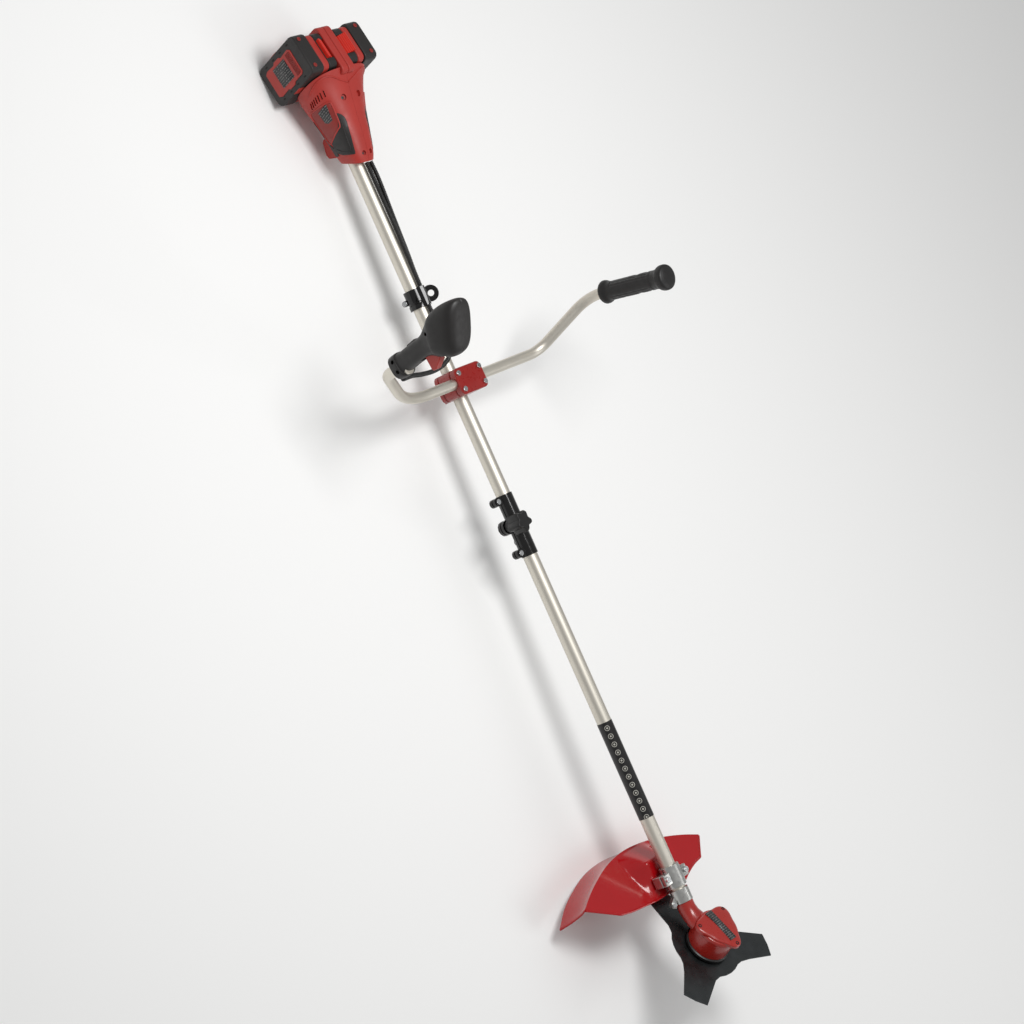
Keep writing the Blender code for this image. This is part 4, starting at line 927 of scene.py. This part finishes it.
def handle():
    """The trigger handle with its trigger mouth, lever slot and screw holes, and its moving pieces."""
    shell = piece("trigger_handle_look", surface("handle", handle_grid(), HANDLE, caps=True),
                  finish("handle"), ["trigger_handle_left_shell", "trigger_handle_right_shell"])
    mouth = slab(rounded((-4.0, 66.0), (60.0, 117.0), 3.0), -7.6, 7.6, "xz")
    slot = slab(rounded((-30.0, 48.0), (-4.0, 87.0), 3.0), -5.5, 5.5, "xz")
    cuts = [cutter(surface("opening", opening, HANDLE, caps=True)) for opening in (mouth, slot)]
    for x, z, depth in HANDLE_HOLES:
        hole = revolved(((0, 0), (3.4, 0), (3.4, 40), (0, 40)), 24)
        origin, turn = HANDLE
        place = axes(origin + turn @ np.array((x, -depth, z)), turn[:, 0], -turn[:, 1])
        cuts.append(cutter(surface("handle_hole", hole, place)))
    carved(shell, cuts)
    refined("trigger", finish("moulded red"), bevel=1.2, segments=3)
    refined("lock_off_lever", finish("black"), bevel=0.9, segments=3)
    refined("trigger_switch", finish("black"), bevel=0.4)


# ---------------------------------------------------------------- coupling

def coupling():
    """The split coupling with its clamp screws, five-lobed knob and spring button."""
    refined("coupling_body", finish("gloss black"), bevel=0.8, segments=3)
    refined("coupling_knob", finish("black"), bevel=0.8, sharp=50, segments=3)
    for node in ("coupling_screw_rear", "coupling_screw_front", "spring_button"):
        refined(node, finish("zinc"), bevel=0.4)


# ---------------------------------------------------------------- guard

GUARD_INNER = ((-118, -124), (-112, -98), (-109, -72), (-106, -44), (-105, -16), (-105, 16), (-106, 40),
               (-116, 66), (-124, 92), (-128, 116))
GUARD_CREASE = ((-157, -184), (-176, -146), (-192, -106), (-203, -70), (-209, -32), (-209, 4), (-203, 44),
                (-192, 84), (-178, 120), (-163, 150))
GUARD_SKIRT = ((-169, -200), (-196, -156), (-216, -108), (-228, -66), (-232, -26), (-230, 10), (-223, 52),
               (-211, 94), (-196, 132), (-180, 164))
CREASE_H = 30.0
INNER_H = 27.0
SKIRT_H = -29.0


def guard_height(x, y, share):
    """Height of the guard's top: a slow rise to the crease plus the raised strip under the shaft."""
    across = np.clip(1.0 - np.maximum(0.0, np.abs(y) - 24.0) / 22.0, 0, 1)
    strip = np.maximum(0.0, np.minimum((-x - 108.0) * 0.524, np.maximum(0.0, (x + 206.0) * 0.62)))
    return INNER_H + (CREASE_H - INNER_H) * share + across * strip


def guard():
    """The guard: ruled sheets from inner edge to crease and from crease to skirt, its rim and its clamp."""
    inner, crease, skirt = (spline(table, 9) for table in (GUARD_INNER, GUARD_CREASE, GUARD_SKIRT))
    t = np.linspace(0, 1, 34)[None, :-1, None]
    top = inner[:, None] * (1 - t) + crease[:, None] * t
    height = guard_height(top[..., 0], top[..., 1], t[..., 0])
    top = np.concatenate((top, height[..., None]), -1)
    s = np.linspace(0, 1, 16)[None, :, None]
    side = crease[:, None] * (1 - s) + skirt[:, None] * s
    drop = CREASE_H + (SKIRT_H - CREASE_H) * s[..., 0] ** 0.62
    side = np.concatenate((side, np.broadcast_to(drop[..., None], (len(crease), 16, 1))), -1)
    grid = np.concatenate((top, side), 1)
    mesh = surface("guard", grid, HEAD, wrap_columns=False, sharp=70)
    face_up(mesh)
    item = piece("guard_look", mesh, finish("gloss red"), ["guard"])
    wall = item.modifiers.new("wall", "SOLIDIFY")
    wall.thickness = bpy.context.scene.cutter_sizes.guard_wall
    wall.offset = -1.0
    edge = item.modifiers.new("edge", "BEVEL")
    edge.width = 1.0 * MM
    edge.segments = 2
    edge.limit_method = "ANGLE"
    edge.angle_limit = radians(60)
    top_edge = t.shape[1] - 1
    border = np.concatenate((grid[0, top_edge:0:-4], grid[::3, 0], grid[-1, 3:top_edge:4]))
    route = spline(border, 3) - (0, 0, 0.6)
    rows, _ = even(route, 2.5)
    piece("guard_rim", surface("guard_rim", swept(rows, 2.0, 10, (0.1, 0.2, 1.0)), HEAD, caps=True),
          finish("gloss red"), body="lower_shaft")
    for node in ("guard_clamp_upper", "guard_clamp_lower"):
        refined(node, finish("cast"), bevel=0.8)
    for node in ("guard_bolt_left", "guard_bolt_right"):
        refined(node, finish("zinc"), bevel=0.5)


def face_up(mesh):
    """Turns an open sheet so that most of it faces up."""
    shape = bmesh.new()
    shape.from_mesh(mesh)
    if sum(face.normal.z * face.calc_area() for face in shape.faces) < 0:
        bmesh.ops.reverse_faces(shape, faces=shape.faces)
    shape.to_mesh(mesh)
    shape.free()


# ---------------------------------------------------------------- cutting head

CAP_SCREWS = (radians(2), radians(123), radians(241))
# Cap plate: share of the outline's reach, height over the blade
CAP_RINGS = ((0.0, 50.0), (1.0, 50.0), (1.0, 55.2), (0.975, 56.3), (0.9, 57.2), (0.7, 58.3), (0.4, 59.1),
             (0.0, 59.5))
CAP_BASE = ((0, 46.0), (37.5, 46.0), (37.5, 50.4), (36.2, 52.6), (33.0, 54.0), (0, 54.4))
CAP_SCREW = ((0, 1.4), (1.7, 1.4), (1.9, 2.6), (3.0, 2.6), (3.3, 2.2), (3.3, -1.0), (0, -1.0))


def cap_plate():
    """A dome over three lobes: each ring is a share of 34 + 12.5((1 + cos 3(a - first lobe)) / 2)^2.2."""
    share, height = np.array(CAP_RINGS).T[:, :, None]
    a = np.linspace(0, 2 * pi, 144, endpoint=False)[None]
    r = 34.0 + 12.5 * ((1 + np.cos(3 * (a - CAP_SCREWS[0]))) / 2) ** 2.2
    return np.stack((share * r * np.cos(a), share * r * np.sin(a), height + 0 * a), -1)


def head():
    """The motor housing with cap, label and screws, and the bracket that holds it to the shaft."""
    refined("motor_housing", finish("painted red"), bevel=0.6, segments=2)
    base = surface("cap", revolved(CAP_BASE, 96), HEAD)
    piece("motor_cap_look", base, finish("painted red"), ["motor_cap"])
    piece("motor_cap_plate", surface("cap_plate", cap_plate(), HEAD), finish("painted red"),
          body="lower_shaft", bevel=0.5)
    refined("motor_base_ring", finish("black"), bevel=0.3)
    refined("spindle_bearing", finish("steel"))
    refined("motor_stator", finish("steel"))
    refined("neck_bracket", finish("cast"), bevel=0.6)
    refined("neck_screw", finish("zinc"), bevel=0.4)
    strip = plate("strip", (-31.0, -7.4), (31.0, 7.4), (56.8, 60.0), HEAD, "xy")
    piece("cap_label", strip, finish("label"), body="lower_shaft")
    for i, angle in enumerate(CAP_SCREWS):
        x, y = 40.5 * cos(angle), 40.5 * sin(angle)
        screw = revolved(CAP_SCREW, 24)
        origin, turn = HEAD
        place = (origin + turn @ np.array((x, y, 55.4)), turn)
        piece(f"cap_screw_{i + 1}", surface("cap_screw", screw, place), finish("black"), body="lower_shaft")


def blade():
    """The blade and the spindle, flange and nut that turn with it."""
    refined("rotor_spindle", finish("steel"))
    refined("blade_flange", finish("black"), bevel=0.3)
    refined("blade_nut", finish("zinc"), bevel=0.4)
    refined("blade", finish("blade"), bevel=0.4)


def inner_parts():
    """The contact blocks and the board inside the housing."""
    for label in ("left", "right"):
        refined(f"contact_block_{label}", finish("black"), bevel=0.3)
    refined("controller_board", finish("charcoal"), bevel=0.3)


# ---------------------------------------------------------------- stage

CAMERA_AT = (194.0, -3473.0, 3326.0)
CAMERA_TURN = tuple(radians(a) for a in (22.5966, -41.5074, 57.1725))
CAMERA_LENS = 99.35


def stage():
    """The camera, the floor, two softboxes and an even sky."""
    turn = Matrix(SHAFT_TURN.tolist()) @ Euler(CAMERA_TURN, "XYZ").to_matrix()
    camera = bpy.data.objects.new("camera", bpy.data.cameras.new("camera"))
    camera.data.lens = CAMERA_LENS
    camera.data.clip_end = 50.0
    camera.matrix_world = Matrix.Translation(world(CAMERA_AT)) @ turn.to_4x4()
    bpy.context.scene.collection.objects.link(camera)
    bpy.context.scene.camera = camera
    floor()
    soft_light("softbox_key", (-700.0, -300.0, 2500.0), 1.0, 40.0)
    soft_light("softbox_fill", (1500.0, 1300.0, 1900.0), 1.2, 10.0)
    bpy.context.scene.view_settings.view_transform = "Standard"
    sky = bpy.data.worlds.new("studio")
    sky.use_nodes = True
    sky.node_tree.nodes["Background"].inputs["Color"].default_value = (1, 1, 1, 1)
    sky.node_tree.nodes["Background"].inputs["Strength"].default_value = 0.4
    bpy.context.scene.world = sky


def floor():
    """A plain pale floor at height 0."""
    mesh = bpy.data.meshes.new("floor")
    reach = 12.0
    mesh.from_pydata([(-reach, -reach, 0), (reach, -reach, 0), (reach, reach, 0), (-reach, reach, 0)], [],
                     [(0, 1, 2, 3)])
    item = bpy.data.objects.new("floor", mesh)
    bpy.context.scene.collection.objects.link(item)
    material, _, _ = new_material("studio_floor", linear("#F6F6F5"), 0.9)
    mesh.materials.append(material)


def soft_light(name, spot, size, power):
    """A square softbox that looks at the middle of the machine."""
    lamp = bpy.data.lights.new(name, "AREA")
    lamp.size = size
    lamp.energy = power
    item = bpy.data.objects.new(name, lamp)
    where = Matrix.Translation(np.array(spot) * MM)
    item.matrix_world = where @ (-where.translation).to_track_quat("-Z", "Y").to_matrix().to_4x4()
    bpy.context.scene.collection.objects.link(item)


# ---------------------------------------------------------------- the add-on

def colour_property(name, text, code):
    """A colour that a user may change."""
    return bpy.props.FloatVectorProperty(name=name, description=text, subtype="COLOR", size=3, min=0.0,
                                         max=1.0, default=linear(code))


def length_property(name, text, millimetres):
    """A length that a user may change."""
    return bpy.props.FloatProperty(name=name, description=text, default=millimetres * MM, min=0.1 * MM,
                                   subtype="DISTANCE", unit="LENGTH", precision=4)


class CutterSizes(bpy.types.PropertyGroup):
    """The sizes and counts that a user would change."""
    conduit_radius: length_property("Conduit radius", "Over the crests of the conduits", 4.2)
    conduit_pitch: length_property("Conduit pitch", "From one crest of the conduits to the next", 3.0)
    tube_radius: length_property("Tube radius", "Outside of both shaft tubes", 13.0)
    bar_radius: length_property("Bar radius", "Outside of the handlebar", 9.5)
    guard_wall: length_property("Guard wall", "Thickness of the guard", 3.0)
    vents: bpy.props.IntProperty(name="Vents", description="Slots on each side of the housing", default=7,
                                 min=2)
    latch_ribs: bpy.props.IntProperty(name="Latch ribs", description="Ribs on each pack's latch", default=6,
                                      min=1)


class CutterColours(bpy.types.PropertyGroup):
    """The colours that a user would change."""
    moulded_red: colour_property("Moulded red", "Housing, pack bands and trigger", "#A62B22")
    gloss_red: colour_property("Gloss red", "Guard", "#A60C13")
    bracket_red: colour_property("Bracket red", "Handlebar bracket", "#8F1813")
    painted_red: colour_property("Painted red", "Motor housing and cap", "#A01D13")
    charcoal: colour_property("Charcoal", "Pack cases and inlays", "#1B1817")
    tube: colour_property("Tube", "Shaft and handlebar", "#D8D3C8")


def operator(name, label, text, work):
    """An operator class that builds one piece or one group of like pieces."""
    def execute(self, context):
        """Builds the pieces."""
        work()
        return {"FINISHED"}
    return type("CUTTER_OT_" + name, (bpy.types.Operator,),
                {"bl_idname": "cutter." + name, "bl_label": label, "__doc__": text, "execute": execute})


def batteries():
    """Both packs."""
    battery("left", 1)
    battery("right", -1)


OPERATORS = [
    operator("stage", "Stage", "Makes the camera, the floor and the soft light", stage),
    operator("shaft", "Shaft", "Builds the tubes, the conduits, the sleeve and the sling clamp", shaft),
    operator("housing", "Housing", "Builds the rear housing's halves with their inlays and vents", housing),
    operator("batteries", "Batteries", "Builds both battery packs with their faces and latches", batteries),
    operator("handlebar", "Handlebar", "Builds the bent bar and the plain grip", handlebar),
    operator("bracket", "Bracket", "Builds the handlebar bracket and its bolts", bracket),
    operator("handle", "Trigger handle", "Builds the trigger handle, trigger and lock-off lever", handle),
    operator("coupling", "Coupling", "Builds the shaft coupling, its knob, screws and button", coupling),
    operator("guard", "Guard", "Builds the guard and its clamp", guard),
    operator("head", "Motor head", "Builds the motor housing, its cap and its neck bracket", head),
    operator("blade", "Blade", "Builds the blade and what turns with it", blade),
    operator("inner_parts", "Inner parts", "Finishes the board and the contact blocks", inner_parts),
]


class CUTTER_PT_looks(bpy.types.Panel):
    """Lists the machine's sizes, its colours and its operators."""
    bl_label = "Brush Cutter"
    bl_space_type = "VIEW_3D"
    bl_region_type = "UI"
    bl_category = "Brush Cutter"

    def draw(self, context):
        """Draws the sizes, the colours and the buttons."""
        for group in (context.scene.cutter_sizes, context.scene.cutter_colours):
            for name in type(group).__annotations__:
                self.layout.prop(group, name)
        for made in OPERATORS:
            self.layout.operator(made.bl_idname)


CLASSES = [CutterSizes, CutterColours, *OPERATORS, CUTTER_PT_looks]


def register():
    """Registers the classes and the scene properties."""
    for made in CLASSES:
        bpy.utils.register_class(made)
    bpy.types.Scene.cutter_sizes = bpy.props.PointerProperty(type=CutterSizes)
    bpy.types.Scene.cutter_colours = bpy.props.PointerProperty(type=CutterColours)


def unregister():
    """Removes the scene properties and the classes."""
    del bpy.types.Scene.cutter_sizes, bpy.types.Scene.cutter_colours
    for made in reversed(CLASSES):
        bpy.utils.unregister_class(made)


def main():
    """Builds everything in order and writes both boxes."""
    register()
    for made in OPERATORS:
        getattr(bpy.ops.cutter, made.bl_idname.split(".")[1])()


if __name__ == "__main__":
    main()
